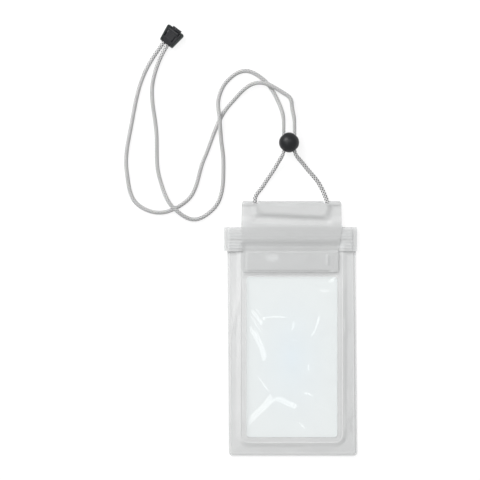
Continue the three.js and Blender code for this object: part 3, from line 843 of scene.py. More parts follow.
def film(name, node, low, high, shape, step):
    """A clear film: rows and columns a step apart in the window and coarser round it."""
    stops = [low[1], low[1] + 4 * mm, window_low[1] - 1 * mm, window_high[1] + 1 * mm, high[1]]
    y = lines(stops, np.array([0.5, 1.2, step, 1.2]) * mm)
    half = body_width / 2 - film_inset - corner_pull(y - low[1], body_radius)
    u = lines([-1, -fine_share, fine_share, 1], np.array([1.2, step, 1.2]) * mm / (body_width / 2))
    x = middle_at(y)[:, None] + half[:, None] * u
    y = np.broadcast_to(y[:, None], x.shape)
    z = low[2] + film_wall / 2 + shape(x, y)
    points = np.stack([x, y, z], axis=-1)
    kept = np.full((points.shape[0] - 1, points.shape[1] - 1), True)
    return sheet_piece(name, points, kept, film_wall, node)


front_film = film("front_film_sheet", "front_film", film_low, film_high, film_height, 0.55)
back_film = film("back_film_sheet", "back_film", back_film_low, back_film_high, no_height, 2.0)

# %% [markdown]
# ## The press strips
# Two extruded strips close the mouth: a bead on a stem snaps into a groove between two jaws. Each is
# one section carried straight across the bar. Where the flap presses the bar down, the strips lie a
# little flatter, so their heights are scaled there by the same amount as the bar sinks.

# %% Sections of the press strips
bead_radius = 0.4 * mm
jaw_gap = 0.1 * mm
jaw_wall = 0.25 * mm
jaw_lip = 45
stem_half = 0.15 * mm
web = 0.4 * mm


def arc(middle, radius, start, end, steps=10):
    """Y and Z points of part of a circle, from one angle in degrees to another."""
    angle = np.radians(np.linspace(start, end, steps))
    return np.stack([radius * np.cos(angle), middle + radius * np.sin(angle)], axis=1)


bead_middle = web + bead_radius + jaw_gap


def groove_section():
    """A flat web with two jaws: three quarters of a ring whose gap faces up, as Y and Z points."""
    inner = bead_radius + jaw_gap
    outer = inner + jaw_wall
    foot = math.degrees(math.asin((bead_middle - web) / outer))
    return np.vstack([
        [(-strip_half, 0), (strip_half, 0), (strip_half, web)],
        arc(bead_middle, outer, -foot, jaw_lip),
        arc(bead_middle, inner, jaw_lip, -180 - jaw_lip),
        arc(bead_middle, outer, -180 - jaw_lip, -180 + foot),
        [(-strip_half, web)],
    ])


def bead_section(height):
    """A flat web with a stem that hangs from it and ends in a round bead, as Y and Z points."""
    neck = math.degrees(math.acos(stem_half / bead_radius))
    return np.vstack([
        [(-strip_half, height - web), (-stem_half, height - web)],
        arc(bead_middle, bead_radius, 180 - neck, 360 + neck, 14),
        [(stem_half, height - web), (strip_half, height - web)],
        [(strip_half, height), (-strip_half, height)],
    ])


print("points of the groove's section:", len(groove_section()))

# %% [markdown]
# ## The strips
# A strip could be extruded with a curve's bevel. Here the section is simply repeated along X, which
# leaves every ring of points free to be lower where the bar is pressed down.

# %% Press strips
def strip(name, node, section, middle, low, high, total):
    """The section carried along X. Its heights are scaled by 1 less the bar's sinking over the height."""
    x = np.linspace(low[0], high[0], 61)
    sunk = bar_height(x, np.full_like(x, middle))
    scale = 1 + np.minimum(sunk, 0) / total
    across = np.broadcast_to(middle + section[None, :, 0], (len(x), len(section)))
    height = strip_floor + section[None, :, 1] * scale[:, None]
    points = np.stack([np.broadcast_to(x[:, None], across.shape), across, height], axis=-1)
    piece = make_piece(name, points, closed_tube(points))
    finish_mesh(piece)
    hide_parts(node)
    return piece


strip_pieces = []
for pair, middle in enumerate(strip_middles, start=1):
    total = box_of(f"press_strip_bead_{pair}")[1][2] - strip_floor
    low, high = strip_boxes[pair - 1]
    for half, section in (("groove", groove_section()), ("bead", bead_section(total))):
        node = f"press_strip_{half}_{pair}"
        strip_pieces.append(strip(f"{half}_strip_{pair}", node, section, middle, low, high, total))
print("press strips:", [piece.name for piece in strip_pieces])

# %% [markdown]
# ## The flap's heights
# The flap is a strip welded behind the mouth. It stands up past the fold, turns over the cord, comes
# down over the bar and ends on the hook-and-loop patch. What lies under its upper leg shows through its
# shape: the sheet is drawn tight over the cord's run, sinks beside it, takes the bar's own height and
# lies flat on the patch.

# %% Heights of the flap
flap_top = flap_high[1]
run_left = -28.5 * mm
run_right = 30.5 * mm
run_outer = 5 * mm
run_inner = 2 * mm
run_edge = 92.8 * mm
run_tilt = 1.1 / 25
run_drop = 1.15 * mm
drop_run = (-0.9 * mm, 3.6 * mm)
rise_run = (3.6 * mm, 8.5 * mm)
slack_depth = 0.8 * mm
slack_below = (87 * mm, 93 * mm)
slack_above = (99 * mm, 103 * mm)
patch_corner = 1.0 * mm
droop_depth = 0.4 * mm
dimple_place = (-15.5 * mm, 59 * mm)
dimple_depth = 0.3 * mm
dimple_width = 3 * mm
crest_place = 30.6 * mm
crest_height = 0.45 * mm
crest_width = 1.1 * mm
crest_rise = (51 * mm, 54 * mm)
crest_fall = (59 * mm, 62 * mm)


def between(value, rise, fall):
    """A share that eases up over the first stretch and down again over the second."""
    return ease(value, *rise) * (1 - ease(value, *fall))


def upper_leg(x, y):
    """Height of the upper leg over its path: slow waves, less a drop just below the cord's run and less a
    slack to the left and right of it."""
    into_run = (run_left - run_outer, run_left + run_inner)
    out_of_run = (run_right - run_inner, run_right + run_outer)
    in_loop = between(x, into_run, out_of_run)
    below_run = run_edge - run_tilt * (x - top_middle) - y
    drop = run_drop * between(below_run, drop_run, rise_run)
    slack = slack_depth * (1 - in_loop) * between(y, slack_below, slack_above)
    return 0.5 * waves(x, y) * ease(y, 86 * mm, 90 * mm) - drop * in_loop - slack


def patch_height(x, y):
    """Height of the flap's end over its rest: flat on the patch, with a dimple and a crest, and sinking
    round it."""
    from_patch = outside(x, y, loop_low[:2], loop_high[:2], patch_corner)
    off_dimple = np.hypot((x - dimple_place[0]) / 1.6, y - dimple_place[1])
    dimple = -dimple_depth * ridge(off_dimple, dimple_width)
    crest = crest_height * ridge(x - crest_place, crest_width) * between(y, crest_rise, crest_fall)
    droop = -droop_depth * ease(from_patch, -0.2 * mm, 1.6 * mm) * (1 - 1.3 * ease(x, 31 * mm, 34 * mm))
    return droop + dimple + crest + 0.35 * waves(1.4 * x, 1.4 * y)


def flap_height(x, y):
    """Height of the whole upper leg: that over the cord, then the bar's, then the patch's, each eased in."""
    past_edge = ease(y, mouth - 1.5 * mm, mouth + 1 * mm)
    on_bar = past_edge * (1 - ease(y, 79 * mm, fold + 2 * mm))
    height = upper_leg(x, y) * ease(y, fold, 88 * mm)
    return height + bar_height(x, y) * on_bar + patch_height(x, y) * (1 - past_edge)


print("cord's run under the flap in mm:", round((run_right - run_left) / mm, 1))

# %% [markdown]
# ## The flap
# The flap could be folded by a cloth simulation, but its folded shape is known, so it is drawn. It is
# one grid along the strip: the rows follow the side view of its path, and the columns spread and narrow
# with its outline. Two slots in the fold let the cord out. They are cells that are left out, so rows
# and columns stop at their edges.

# %% Flap
flap_fold_low = sheet / 2
flap_fold_high = 3.9 * mm
flap_over_bar = flap_high[2] - sheet / 2
flap_end_height = hook_high[2] + layer_gap + sheet / 2
flap_radius = 2.4 * mm
top_width, full_width, end_width = 81.3 * mm, 82.5 * mm, 78.8 * mm
slot_width = 4.2 * mm
slot_depth = 2.1 * mm
slot_middles = np.array([-29.4, 30.0]) * mm
weld_end = fold - 11.0 * mm

fold_centre = flap_top - sheet / 2 - (flap_fold_high - flap_fold_low) / 2
flap_fold = half_circle(fold_centre, flap_fold_low, flap_fold_high)
flap_path = np.vstack([
    [(weld_end, flap_fold_low)],
    flap_fold,
    [(fold + 2.4 * mm, flap_over_bar), (mouth + 1.0 * mm, flap_over_bar)],
    [(mouth - 1.5 * mm, flap_end_height), (flap_end, flap_end_height)],
])
flap_along = length_along(flap_path)
arc_start, arc_end = flap_along[1], flap_along[len(flap_fold)]
slot_reach = slot_depth - (flap_top - fold_centre)
slot_start, slot_end = arc_start - slot_reach, arc_end + slot_reach
flap_rows = lines(
    [0, slot_start, arc_start, arc_end, slot_end, flap_along[-1] - 2 * mm, flap_along[-1]],
    np.array([1.5, 0.5, 0.3, 0.5, 0.5, 0.3]) * mm,
)
slot_edges = np.sort([*(slot_middles - slot_width / 2), *(slot_middles + slot_width / 2)]) - top_middle
flap_columns = lines(
    [-full_width / 2, *slot_edges, full_width / 2],
    np.array([0.6, 0.75, 0.7, 0.75, 0.6]) * mm,
)


def flap_points():
    """The grid: X from the outline at each row, Y and Z from the path, and the heights on the upper leg."""
    y, z = follow(flap_path, flap_rows).T
    upper = flap_rows > (arc_start + arc_end) / 2
    half = np.interp(y, [mouth, fold, flap_top], [end_width, full_width, top_width]) / 2
    half = half - corner_pull(y - flap_end, flap_radius) * upper - corner_pull(flap_top - y, flap_radius)
    middle = np.interp(y, [mouth, fold], [patch_middle, top_middle])
    x = middle[:, None] + flap_columns * (half / (full_width / 2))[:, None]
    y = np.broadcast_to(y[:, None], x.shape)
    past_fold = upper * ease(arc_end + 1 * mm - flap_rows, 0, -1 * mm)
    return np.stack([x, y, z[:, None] + flap_height(x, y) * past_fold[:, None]], axis=-1)


row_middles = (flap_rows[:-1] + flap_rows[1:]) / 2
column_middles = (flap_columns[:-1] + flap_columns[1:]) / 2 + top_middle
in_slot_rows = (row_middles > slot_start) & (row_middles < slot_end)
in_slot_columns = np.abs(column_middles[:, None] - slot_middles).min(axis=1) < slot_width / 2
flap_kept = ~(in_slot_rows[:, None] & in_slot_columns[None, :])
flap = sheet_piece("flap_sheet", flap_points(), flap_kept, sheet, "flap")

# %% [markdown]
# ## The hook-and-loop patch
# Under the flap's end a hook tape presses on a loop tape. Both are flat woven tapes with a nap. Each is
# a cushion-like slab: two grids over the tape's outline whose height falls off at the rim, one facing
# up and one down, joined round their rims. The clip's lid further on is closed by the same helper.

# %% Patch
def closed_slab(name, over, under, sharp_degrees):
    """A closed piece from an upper and a lower grid of points, with a wall from rim to rim."""
    count = over.shape[0] * over.shape[1]
    faces = grid_faces(*over.shape[:2]).reshape(-1, 4)
    index = np.arange(count).reshape(over.shape[:2])
    edge = np.concatenate([index[0, :-1], index[:-1, -1], index[-1, :0:-1], index[:0:-1, 0]])
    after = np.roll(edge, -1)
    sides = np.stack([edge, edge + count, after + count, after], axis=1)
    points = np.concatenate([over.reshape(-1, 3), under.reshape(-1, 3)])
    piece = make_piece(name, points, np.vstack([faces, faces[:, ::-1] + count, sides]).tolist())
    finish_mesh(piece, sharp_degrees)
    return piece


nap_depth = 0.06 * mm
rim_round = 0.6 * mm
rim_share = 0.55


def tape(name, node, low, high, nap_side):
    """A tape: its height falls off near the rim, and a fine nap, sine times sine, dents the meeting face."""
    u, v = np.meshgrid(np.linspace(-1, 1, 121), np.linspace(-1, 1, 31))
    centre = (low + high) / 2
    half = (high - low) / 2
    to_rim = np.minimum((1 - np.abs(u)) * half[0], (1 - np.abs(v)) * half[1])
    thick = half[2] * (rim_share + (1 - rim_share) * ease(to_rim, 0, rim_round))
    nap = np.abs(nap_depth * np.sin(u * 260) * np.sin(v * 60))
    x = centre[0] + u * half[0]
    y = centre[1] + v * half[1]
    over = np.stack([x, y, centre[2] + thick - nap * (nap_side > 0)], axis=-1)
    under = np.stack([x, y, centre[2] - thick + nap * (nap_side < 0)], axis=-1)
    piece = closed_slab(name, over, under, 60)
    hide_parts(node)
    return piece


loop_tape = tape("loop_tape", "loop_pad", loop_low, loop_high, 1)
hook_tape = tape("hook_tape", "hook_pad", hook_low, hook_high, -1)
print("patch in mm:", ((loop_high - loop_low) / mm).round(1))

# %% [markdown]
# ## The ball stopper
# The ball is moulded with two bores side by side. A sphere with holes is awkward as one grid, so it
# starts as a copy of the solid, cut anew into small even cells. Then each point slides along the slope
# of a distance formula until it lies on the surface: the largest of the distance out of the sphere and
# the distances into the bores, blended over a small width, which also rounds the mouths of the bores as
# a mould does.

# %% Ball stopper
ball_radius = (ball_high[1] - ball_low[1]) / 2
bore_radius = cord_diameter / 2 + 0.3 * mm
mouth_round = 0.35 * mm


def ball_distance(places):
    """Distance out of the ball: a soft maximum of the sphere's distance and the two bores' distances."""
    x, y, z = (places - ball_middle).T
    sphere = np.sqrt(x**2 + y**2 + z**2) - ball_radius
    bores = [bore_radius - np.hypot(x - side * bore_half, z) for side in (-1, 1)]
    parts = np.stack([sphere, *bores]) / mouth_round
    return mouth_round * np.log(np.exp(np.clip(parts, -40, 40)).sum(axis=0))


ball = bpy.data.objects.new("ball", frame["nodes"]["ball_stopper"].data.copy())
bpy.context.scene.collection.objects.link(ball)
weld = ball.modifiers.new("weld", "WELD")
weld.merge_threshold = 0.001 * mm
cells = ball.modifiers.new("cells", "REMESH")
cells.mode = "VOXEL"
cells.voxel_size = 0.3 * mm
finish_mesh(ball, 180)
flat = np.zeros(len(ball.data.vertices) * 3)
ball.data.vertices.foreach_get("co", flat)
places = flat.reshape(-1, 3)
probe = 0.01 * mm
for _ in range(6):
    here = ball_distance(places)
    slope = np.stack([ball_distance(places + probe * axis) - here for axis in np.eye(3)], axis=1) / probe
    places = places - slope * (here / np.maximum((slope**2).sum(axis=1), 0.2))[:, None]
ball.data.vertices.foreach_set("co", places.ravel())
ball.data.polygons.foreach_set("use_smooth", np.full(len(ball.data.polygons), True))
ball.data.update()
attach(ball, "ball")
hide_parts("ball_stopper")
print("ball:", len(ball.data.polygons), "faces, radius in mm:", round(ball_radius / mm, 2))

# %% [markdown]
# ## The clip's lid
# The clip is a small moulded box with a snap-in lid. Its base keeps the solid's own shape. The lid
# carries the detail that is seen from above: a bar over the cord's mouth, a thumb panel with fine grip
# ribs, a high ridge across, a latch block on the tab, and the deep slots round its two latches. All of
# these are boxes with soft edges, added to or taken from the height of one slab that is drawn along and
# across the clip.

# %% Height of the clip's lid
clip_length = 14.4 * mm
clip_narrow = 12.4 * mm
clip_wide = 16.6 * mm
lid_inset = 1.6 * mm
lid_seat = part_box("clip_lid")[0][2]
lid_plate = 5.62 * mm
mouth_bar_height = 0.32 * mm
rib_pitch = 1.35 * mm
rib_height = 0.22 * mm
thumb_rise = 0.12 * mm
ridge_height = 0.95 * mm
ridge_start = 11.2 * mm
ridge_tilt = 0.2
latch_height = 0.75 * mm
slot_sink = 0.6 * mm
# Low and high corner, in mm across and along the clip, of what is raised or sunk on the lid
thumb_panel = ((-4.6, 4.6), (2.7, 11.0))
high_ridge = ((-5.5, 11.0), (3.6, 12.7))
latch_block = ((-0.9, 13.2), (3.2, 15.1))
latch_slots = [
    ((-5.4, 4.4), (-4.9, 8.0)),
    ((3.0, 4.9), (3.7, 8.6)),
    ((2.2, 4.1), (3.7, 4.8)),
    ((4.2, 10.2), (4.8, 13.9)),
]


def soft_box(across, along, low, high, edge=0.22):
    """1 inside a rectangle given in mm and 0 outside it, with an edge that eases between them."""
    share = 1
    for value, start, end in ((across / mm, low[0], high[0]), (along / mm, low[1], high[1])):
        share = share * (ease(value, start - edge, start + edge) - ease(value, end - edge, end + edge))
    return share


def lid_height(across, along):
    """Height of the lid's top: plate, mouth bar, ribbed thumb panel, ridge and latch block, less slots."""
    height = lid_plate + mouth_bar_height * (1 - ease(along, 3.4 * mm, 4.0 * mm))
    ribs = rib_height * np.cos(np.pi * along / rib_pitch) ** 2
    height = height + soft_box(across, along, *thumb_panel) * (thumb_rise + ribs)
    ridge_top = ridge_height - ridge_tilt * (along - ridge_start)
    height = height + ridge_top * soft_box(across, along, *high_ridge)
    height = height + latch_height * soft_box(across, along, *latch_block)
    slots = sum(soft_box(across, along, *slot) for slot in latch_slots)
    return height - slot_sink * np.minimum(slots, 1)


print("slots in the lid:", len(latch_slots))

# %% [markdown]
# ## The lid's slab
# Seen from above the lid has three parts: the narrow bar at the cord's mouth, the body, which widens
# away from it, and the tab. One grid makes them all: each row has the middle and the half width of the
# part it lies in.

# %% Clip lid
tab_end = clip_length + 1.2 * mm
bar_across = (-0.5 * mm, 3.8 * mm)
tab_across = (0.4 * mm, 4.1 * mm)
lid_columns = 91


def lid_grid():
    """Places across and along the clip: rows in three parts, with a middle and a half width for each."""
    parts = [
        lines([0.0, lid_inset], [0.15 * mm]),
        lines([lid_inset, clip_length - lid_inset], [0.13 * mm]),
        lines([clip_length - lid_inset, tab_end], [0.13 * mm]),
    ]
    along = np.concatenate(parts)
    part = np.repeat([0, 1, 2], [len(rows) for rows in parts])
    body_half = clip_narrow / 2 - lid_inset + (clip_wide - clip_narrow) / 2 / clip_length * along
    half = np.choose(part, [bar_across[1], body_half, tab_across[1]])
    middle = np.choose(part, [bar_across[0], 0.0, tab_across[0]])
    across = middle[:, None] + half[:, None] * np.linspace(-1, 1, lid_columns)
    return across, np.broadcast_to(along[:, None], across.shape)


lid_across, lid_along = lid_grid()
lid_top = np.stack(from_clip(lid_across, lid_along, lid_height(lid_across, lid_along)), axis=-1)
lid_floor = np.stack(from_clip(lid_across, lid_along, np.full_like(lid_across, lid_seat)), axis=-1)
clip_lid = closed_slab("clip_lid_detailed", lid_top, lid_floor, 50)
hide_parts("clip_lid")
print("lid:", len(clip_lid.data.polygons), "faces, top in mm:", round(float(lid_top[..., 2].max() / mm), 2))

# %% [markdown]
# ## The knots
# Each end of the cord is tied in an overhand knot inside the clip. An overhand knot whose ends are
# joined is the trefoil, which has a short formula, so each knot is a braided tube along a trefoil that
# is drawn tight: it just fits the box of its solid.

# %% Knots
knot_tube = 1.0 * mm


def knot(name, node):
    """X = sin t + 2 sin 2t, Y = cos t - 2 cos 2t and Z = -sin 3t, scaled to the box of its solid."""
    low, high = box_of(node)
    t = np.linspace(0, 2 * np.pi, 161)
    x = np.sin(t) + 2 * np.sin(2 * t)
    y = np.cos(t) - 2 * np.cos(2 * t)
    room = (high - low) / 2 - knot_tube
    shape = np.stack([x / 3, y / 3, -np.sin(3 * t)], axis=1) * room
    line, distance = evenly_spaced((low + high) / 2 + shape, ring_step)
    height = braid_height(turns, distance[:, None])
    rings = tube_rings(line, knot_tube * (0.8 + 0.2 * height))
    piece = make_piece(name, rings, closed_tube(rings))
    add_tube_map(piece, len(line), cord_sides, distance)
    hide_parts(node)
    return piece


knots = [knot("knot_left", "cord_knot_left"), knot("knot_right", "cord_knot_right")]
print("knots:", [len(piece.data.polygons) for piece in knots])

# %% [markdown]
# ## Colours and nodes
# A colour is written as a hex value, as it would be picked on a screen, and one function turns it
# linear. One more function adds a node: its settings are named, and an input is either a number or a
# link.

# %% Colour and node helpers
def colour(hex_code):
    """Linear red, green, blue and a full alpha from a code such as D9DADA."""
    levels = np.array([int(hex_code[i:i + 2], 16) for i in (0, 2, 4)]) / 255
    linear = np.where(levels <= 0.04045, levels / 12.92, ((levels + 0.055) / 1.055) ** 2.4)
    return (*linear, 1.0)


def add_node(material, kind, inputs=None, **settings):
    """Adds a node of this kind with its settings, and fills its inputs with links or values."""
    made = material.node_tree.nodes.new("ShaderNode" + kind)
    for name, value in settings.items():
        setattr(made, name, value)
    for name, value in (inputs or {}).items():
        if isinstance(value, bpy.types.NodeSocket):
            material.node_tree.links.new(value, made.inputs[name])
        else:
            made.inputs[name].default_value = value
    return made


def worked_out(material, operation, *values):
    """The result of one sum, product or the like of links and numbers."""
    return add_node(material, "Math", dict(enumerate(values)), operation=operation).outputs[0]


def new_material(name):
    """A material with an empty node tree."""
    material = bpy.data.materials.new(name)
    material.use_nodes = True
    material.node_tree.nodes.clear()
    return material


def show(material, shader):
    """Gives the shader to the material's output."""
    add_node(material, "OutputMaterial", {"Surface": shader})


def paint(material, *pieces):
    """Puts one material on each of the pieces."""
    for piece in pieces:
        piece.data.materials.clear()
        piece.data.materials.append(material)


def mixed(material, factor, first, second):
    """A colour between two, by a factor that is a link. The Mix node keeps its colours in inputs 6 and 7."""
    return add_node(material, "Mix", {0: factor, 6: first, 7: second}, data_type="RGBA").outputs[2]


print("E1E2E2 is, linear:", np.round(colour("E1E2E2"), 3))

# %% [markdown]
# ## Frosted vinyl
# The panels and the flap are soft PVC sheet, calendered with a fine frost on both faces. To the eye
# that is a pale grey-white satin that lets some of what lies beneath show through, so each face of the
# sheet is a little open. The frost is finer than a pixel; it is drawn at half a millimetre, as a faint
# bump and a slight change of roughness, with clouds of colour about 22 mm wide. The flap is cut from a
# slightly greyer sheet than the front. The back panel is drawn greyer too, and that grey is painted
# shade: the back panel's folded leg is the top of the bar, whose many layers lie in shade.

# %% Frosted vinyl
frost_size = 0.5 * mm
clouds_per_metre = 45.0


def frosted_vinyl(name, dark, light, openness):
    """Soft satin vinyl between two colours. Openness is the share of light that a face lets through."""
    material = new_material(name)
    place = add_node(material, "TexCoord").outputs["Object"]
    cloud = add_node(material, "TexNoise", {"Vector": place, "Scale": clouds_per_metre, "Detail": 2.0})
    grain = add_node(material, "TexNoise", {"Vector": place, "Scale": 1 / frost_size, "Detail": 1.0})
    tint = mixed(material, cloud.outputs["Fac"], colour(dark), colour(light))
    rough = add_node(
        material, "MapRange", {"Value": grain.outputs["Fac"], "To Min": 0.34, "To Max": 0.46}
    ).outputs["Result"]
    frost = grain.outputs["Fac"]
    bump = add_node(material, "Bump", {"Height": frost, "Strength": 0.08, "Distance": 0.1 * mm})
    shader = add_node(material, "BsdfPrincipled", {
        "Base Color": tint,
        "Roughness": rough,
        "Normal": bump.outputs["Normal"],
        "Alpha": 1 - openness,
        "IOR": 1.53,
    })
    show(material, shader.outputs["BSDF"])
    return material


panel_vinyl = frosted_vinyl("frosted_front_vinyl", "F3F4F4", "F9F9F9", 0.55)
# The back panel's greyer colour is painted shade, for the shade of the layered bar on its folded leg.
back_vinyl_painted_shade = frosted_vinyl("frosted_back_vinyl", "E4E5E5", "EAEBEB", 0.55)
flap_vinyl = frosted_vinyl("frosted_flap_vinyl", "D9DADA", "E1E2E2", 0.48)
paint(panel_vinyl, front_panel)
paint(back_vinyl_painted_shade, back_panel)
paint(flap_vinyl, flap)
print("materials:", panel_vinyl.name, back_vinyl_painted_shade.name, flap_vinyl.name)

# %% [markdown]
# ## Clear vinyl
# The window films are clear soft PVC. They let nearly all light straight through, with a cool tint, and
# show themselves by their gloss. So the shader mixes a tinted see-through part with a glossy part, and
# adds a trace of milky haze, in patches of about 17 mm, as rubbed vinyl has. The glossy share follows
# Schlick's rule, 3 % straight on and all of it at a grazing angle, because that rule is the same on both
# faces of a sheet that doesn't bend the light.

# %% Clear vinyl
straight_on = 0.03
rubs_per_metre = 60.0
film_roughness = 0.09


def clear_vinyl():
    """Clear film: a tinted see-through part with a trace of haze, mixed with gloss by Schlick's rule."""
    material = new_material("clear_soft_vinyl")
    place = add_node(material, "TexCoord").outputs["Object"]
    rub = add_node(material, "TexNoise", {"Vector": place, "Scale": rubs_per_metre, "Detail": 3.0})
    bump = add_node(material, "Bump", {"Height": rub.outputs["Fac"], "Strength": 0.1, "Distance": 0.2 * mm})
    normal = bump.outputs["Normal"]
    middle = add_node(material, "Mapping", {
        "Vector": place,
        "Location": (-0.03, 0.30, 0.0),
        "Scale": (1 / (46 * mm), 1 / (78 * mm), 0.0),
    })
    depth = add_node(
        material, "TexGradient", {"Vector": middle.outputs["Vector"]}, gradient_type="QUADRATIC_SPHERE"
    )
    tint = mixed(material, depth.outputs["Fac"], colour("FBFCFC"), colour("FAFCFD"))
    through = add_node(material, "BsdfTransparent", {"Color": tint})
    haze = add_node(material, "BsdfDiffuse", {"Color": colour("E6EAEB")})
    gloss = add_node(material, "BsdfGlossy", {"Roughness": film_roughness, "Normal": normal})
    share = add_node(material, "MapRange", {"Value": rub.outputs["Fac"], "To Min": 0.01, "To Max": 0.03})
    milky = share.outputs["Result"]
    body = add_node(material, "MixShader", {0: milky, 1: through.outputs[0], 2: haze.outputs[0]})
    facing = add_node(material, "LayerWeight", {"Blend": 0.5, "Normal": normal}).outputs["Facing"]
    grazing = worked_out(material, "POWER", facing, 5.0)
    mirror = add_node(material, "MapRange", {"Value": grazing, "To Min": straight_on})
    shader = add_node(material, "MixShader", {0: mirror.outputs[0], 1: body.outputs[0], 2: gloss.outputs[0]})
    show(material, shader.outputs[0])
    return material


clear = clear_vinyl()
paint(clear, front_film, back_film)
print("material:", clear.name)

# %% [markdown]
# ## Strip vinyl and tapes
# The press strips are extruded from the same vinyl, unfrosted and milky, with faint streaks about 3 mm
# wide. The tapes are woven polyester: matt, white-grey, with a nap of loops about 0.4 mm apart.

# %% Strips and tapes
streaks_per_metre = 300.0
loop_spacing = 0.4 * mm


def strip_vinyl():
    """Milky unfrosted vinyl, a little streaked by the extruder."""
    material = new_material("extruded_vinyl")
    place = add_node(material, "TexCoord").outputs["Object"]
    flow = add_node(material, "TexNoise", {"Vector": place, "Scale": streaks_per_metre, "Detail": 1.0})
    tint = mixed(material, flow.outputs["Fac"], colour("CED1D2"), colour("DADCDD"))
    shader = add_node(material, "BsdfPrincipled", {"Base Color": tint, "Roughness": 0.3, "IOR": 1.53})
    show(material, shader.outputs["BSDF"])
    return material


def napped_tape():
    """Matt woven tape with a nap of fine loops."""
    material = new_material("hook_and_loop_tape")
    place = add_node(material, "TexCoord").outputs["Object"]
    loops = add_node(material, "TexVoronoi", {"Vector": place, "Scale": 1 / loop_spacing})
    loop = loops.outputs["Distance"]
    tint = mixed(material, loop, colour("F6F7F7"), colour("D6D8D9"))
    bump = add_node(material, "Bump", {"Height": loop, "Strength": 0.6, "Distance": 0.2 * mm})
    shader = add_node(material, "BsdfPrincipled", {
        "Base Color": tint,
        "Roughness": 0.95,
        "Normal": bump.outputs["Normal"],
    })
    show(material, shader.outputs["BSDF"])
    return material


paint(strip_vinyl(), *strip_pieces)
paint(napped_tape(), loop_tape, hook_tape)
print("materials:", strip_pieces[0].data.materials[0].name, loop_tape.data.materials[0].name)

# %% [markdown]
# ## Braided polyester
# The cord's yarns are light grey polyester, a little shiny along their fibres. The gaps between the
# bundles are painted dark: painted shade, for the shade that falls into them. It is worked out from the
# same two windings as the relief, read from the cord's own map of turns and metres, so colour and
# relief stay together. Single fibres are too fine to show, so the yarn's change of tone is drawn in
# tufts of about 1 mm.

# %% Braided polyester
tufts_per_metre = 900.0


def braided_polyester():
    """Light yarn where one winding is on top, cos2 of its phase, and painted shade in the gaps between the
    bundles.
    """
    material = new_material("braided_polyester")
    where = add_node(material, "SeparateXYZ", {0: add_node(material, "UVMap").outputs["UV"]})
    around = worked_out(material, "MULTIPLY", where.outputs["X"], bundles * math.pi)
    along = worked_out(material, "MULTIPLY", where.outputs["Y"], math.pi / bundle_pitch)
    heights = []
    for winding in ("ADD", "SUBTRACT"):
        wave = worked_out(material, "COSINE", worked_out(material, winding, around, along))
        heights.append(worked_out(material, "MULTIPLY", wave, wave))
    top = worked_out(material, "MAXIMUM", *heights)
    place = add_node(material, "TexCoord").outputs["Object"]
    fibre = add_node(material, "TexNoise", {"Vector": place, "Scale": tufts_per_metre, "Detail": 2.0})
    yarn = mixed(material, fibre.outputs["Fac"], colour("D2D2D2"), colour("EEEEEE"))
    shade = add_node(material, "MapRange", {"Value": top, "From Min": 0.45, "From Max": 0.98})
    # Painted shade: the dark colour 4C4C4C fills the gaps between the bundles.
    tint = mixed(material, shade.outputs["Result"], colour("4C4C4C"), yarn)
    fuzz = fibre.outputs["Fac"]
    bump = add_node(material, "Bump", {"Height": fuzz, "Strength": 0.4, "Distance": 0.1 * mm})
    shader = add_node(material, "BsdfPrincipled", {
        "Base Color": tint,
        "Roughness": 0.75,
        "Normal": bump.outputs["Normal"],
    })
    show(material, shader.outputs["BSDF"])
    return material


braid = braided_polyester()
paint(braid, cord_piece, *knots)
print("material:", braid.name)

# %% [markdown]
# ## Black plastic
# Ball and clip are moulded in black plastic with a satin mould surface: nearly black, with a soft cool
# sheen. The grain is about 0.35 mm. The clip's base stays the model's own solid; a weld joins its loose
# triangles and a small bevel rounds its edges. Its plastic has a trace of green beside the lid's blue,
# as two batches have.

# %% Black plastic
grain_size = 0.35 * mm


def black_plastic(name, dark, light, roughness, gloss):
    """Moulded plastic between two near blacks. Gloss is how strongly it mirrors, 0.5 for a polished face."""
    material = new_material(name)
    place = add_node(material, "TexCoord").outputs["Object"]
    grain = add_node(material, "TexNoise", {"Vector": place, "Scale": 1 / grain_size, "Detail": 2.0})
    tint = mixed(material, grain.outputs["Fac"], colour(dark), colour(light))
    skin = grain.outputs["Fac"]
    bump = add_node(material, "Bump", {"Height": skin, "Strength": 0.25, "Distance": 0.05 * mm})
    shader = add_node(material, "BsdfPrincipled", {
        "Base Color": tint,
        "Roughness": roughness,
        "Specular IOR Level": gloss,
        "Normal": bump.outputs["Normal"],
    })
    show(material, shader.outputs["BSDF"])
    return material


paint(black_plastic("moulded_black_ball", "06080A", "0D0F13", 0.4, 0.3), ball)
paint(black_plastic("moulded_black_lid", "07080B", "12141A", 0.25, 0.36), clip_lid)
clip_base = frame["nodes"]["clip_base"]
paint(black_plastic("moulded_black_base", "161C1B", "262E2C", 0.42, 0.3), clip_base)
weld = clip_base.modifiers.new("weld", "WELD")
weld.merge_threshold = 0.001 * mm
flat_faces = clip_base.modifiers.new("flat_faces", "DECIMATE")
flat_faces.decimate_type = "DISSOLVE"
flat_faces.angle_limit = math.radians(2)
rounded = clip_base.modifiers.new("rounded", "BEVEL")
rounded.width = 0.3 * mm
rounded.segments = 2
rounded.limit_method = "ANGLE"
rounded.angle_limit = math.radians(35)

# %% [markdown]
# ## The cord's facts
# The photograph shows the cord from end to end, so its real length is the length of its route. It
# leaves the clip at the mouth and goes back into it, where each end is tied in a knot.

# %% [markdown]
# ## Floor, lamps and white ground
# The case lies on a plain white table under soft light from the upper left. The lamps light a surface
# at about its written colour. What the camera, a reflection or a clear film sees of the floor is mostly
# a plain white glow, so that the ground is white without more light on the object, and the rest of it
# still takes the shadow.

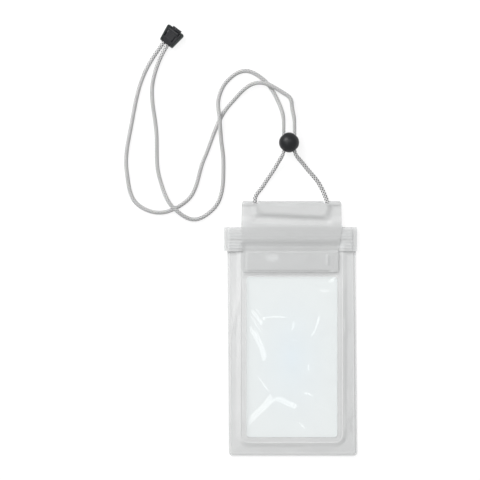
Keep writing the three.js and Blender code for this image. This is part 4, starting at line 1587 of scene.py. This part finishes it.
# %% Floor
floor_half = 2.0
floor_mesh = bpy.data.meshes.new("floor")
floor_corners = [(x * floor_half, y * floor_half, 0) for x, y in ((-1, -1), (1, -1), (1, 1), (-1, 1))]
floor_mesh.from_pydata(floor_corners, [], [(0, 1, 2, 3)])
floor = bpy.data.objects.new("floor", floor_mesh)
bpy.context.scene.collection.objects.link(floor)
floor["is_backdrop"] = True


def seen_directly(material):
    """1 for a ray from the camera, a reflection or a clear piece, and 0 for light that bounces about."""
    rays = add_node(material, "LightPath").outputs
    either = worked_out(material, "MAXIMUM", rays["Is Camera Ray"], rays["Is Glossy Ray"])
    return worked_out(material, "MAXIMUM", either, rays["Is Transmission Ray"])


table = new_material("white_table")
plain = add_node(table, "BsdfDiffuse", {"Color": (0.8, 0.8, 0.8, 1)})
glow = add_node(table, "Emission", {"Color": (1, 1, 1, 1), "Strength": 0.84})
shaded = add_node(table, "BsdfDiffuse", {"Color": (0.22, 0.22, 0.22, 1)})
seen = add_node(table, "AddShader", {0: glow.outputs[0], 1: shaded.outputs[0]})
table_mix = add_node(table, "MixShader", {0: seen_directly(table), 1: plain.outputs[0], 2: seen.outputs[0]})
show(table, table_mix.outputs[0])
floor_mesh.materials.append(table)
print("floor in metres:", 2 * floor_half)

# %% [markdown]
# ## Lamps and world
# A large softbox stands low at the upper left and draws the slopes. Two long strip lamps stand higher,
# one on the left and one at the top: they are what the film's facets mirror, and they put a soft line
# on every edge that rolls off to the left. The world fills the shadows.

# %% Lamps
def softbox(name, place, aim, size, power):
    """A rectangular lamp that faces a point on the case."""
    light = bpy.data.lights.new(name, "AREA")
    light.shape = "RECTANGLE"
    light.size, light.size_y = size
    light.energy = power
    lamp = bpy.data.objects.new(name, light)
    lamp.location = place
    direction = Vector(aim) - Vector(place)
    lamp.rotation_euler = direction.to_track_quat("-Z", "Y").to_euler()
    bpy.context.scene.collection.objects.link(lamp)
    return lamp


softbox("key", (-0.85, 0.92, 0.9), (0, 0, 0), (0.8, 0.8), 17.0)
softbox("left_strip", (-0.75, 0.1, 1.5), (0, 0, 0), (1.6, 0.45), 5.5)
softbox("top_strip", (0.15, 0.75, 1.5), (0, 0, 0), (1.3, 0.45), 4.5)

world = bpy.data.worlds.new("studio")
bpy.context.scene.world = world
world.use_nodes = True
world.node_tree.nodes.clear()
dim = add_node(world, "Background", {"Color": (1, 1, 1, 1), "Strength": 0.36})
white = add_node(world, "Background", {"Color": (1, 1, 1, 1), "Strength": 1.0})
sky = add_node(world, "MixShader", {0: seen_directly(world), 1: dim.outputs[0], 2: white.outputs[0]})
add_node(world, "OutputWorld", {"Surface": sky.outputs[0]})
bpy.context.scene.view_settings.view_transform = "Standard"

# %% [markdown]
# ## The end
# The box of the finished model is printed.

# %% Sizes, and the end
low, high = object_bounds()
print("visual box in mm:", [round(side / mm, 1) for side in high - low])
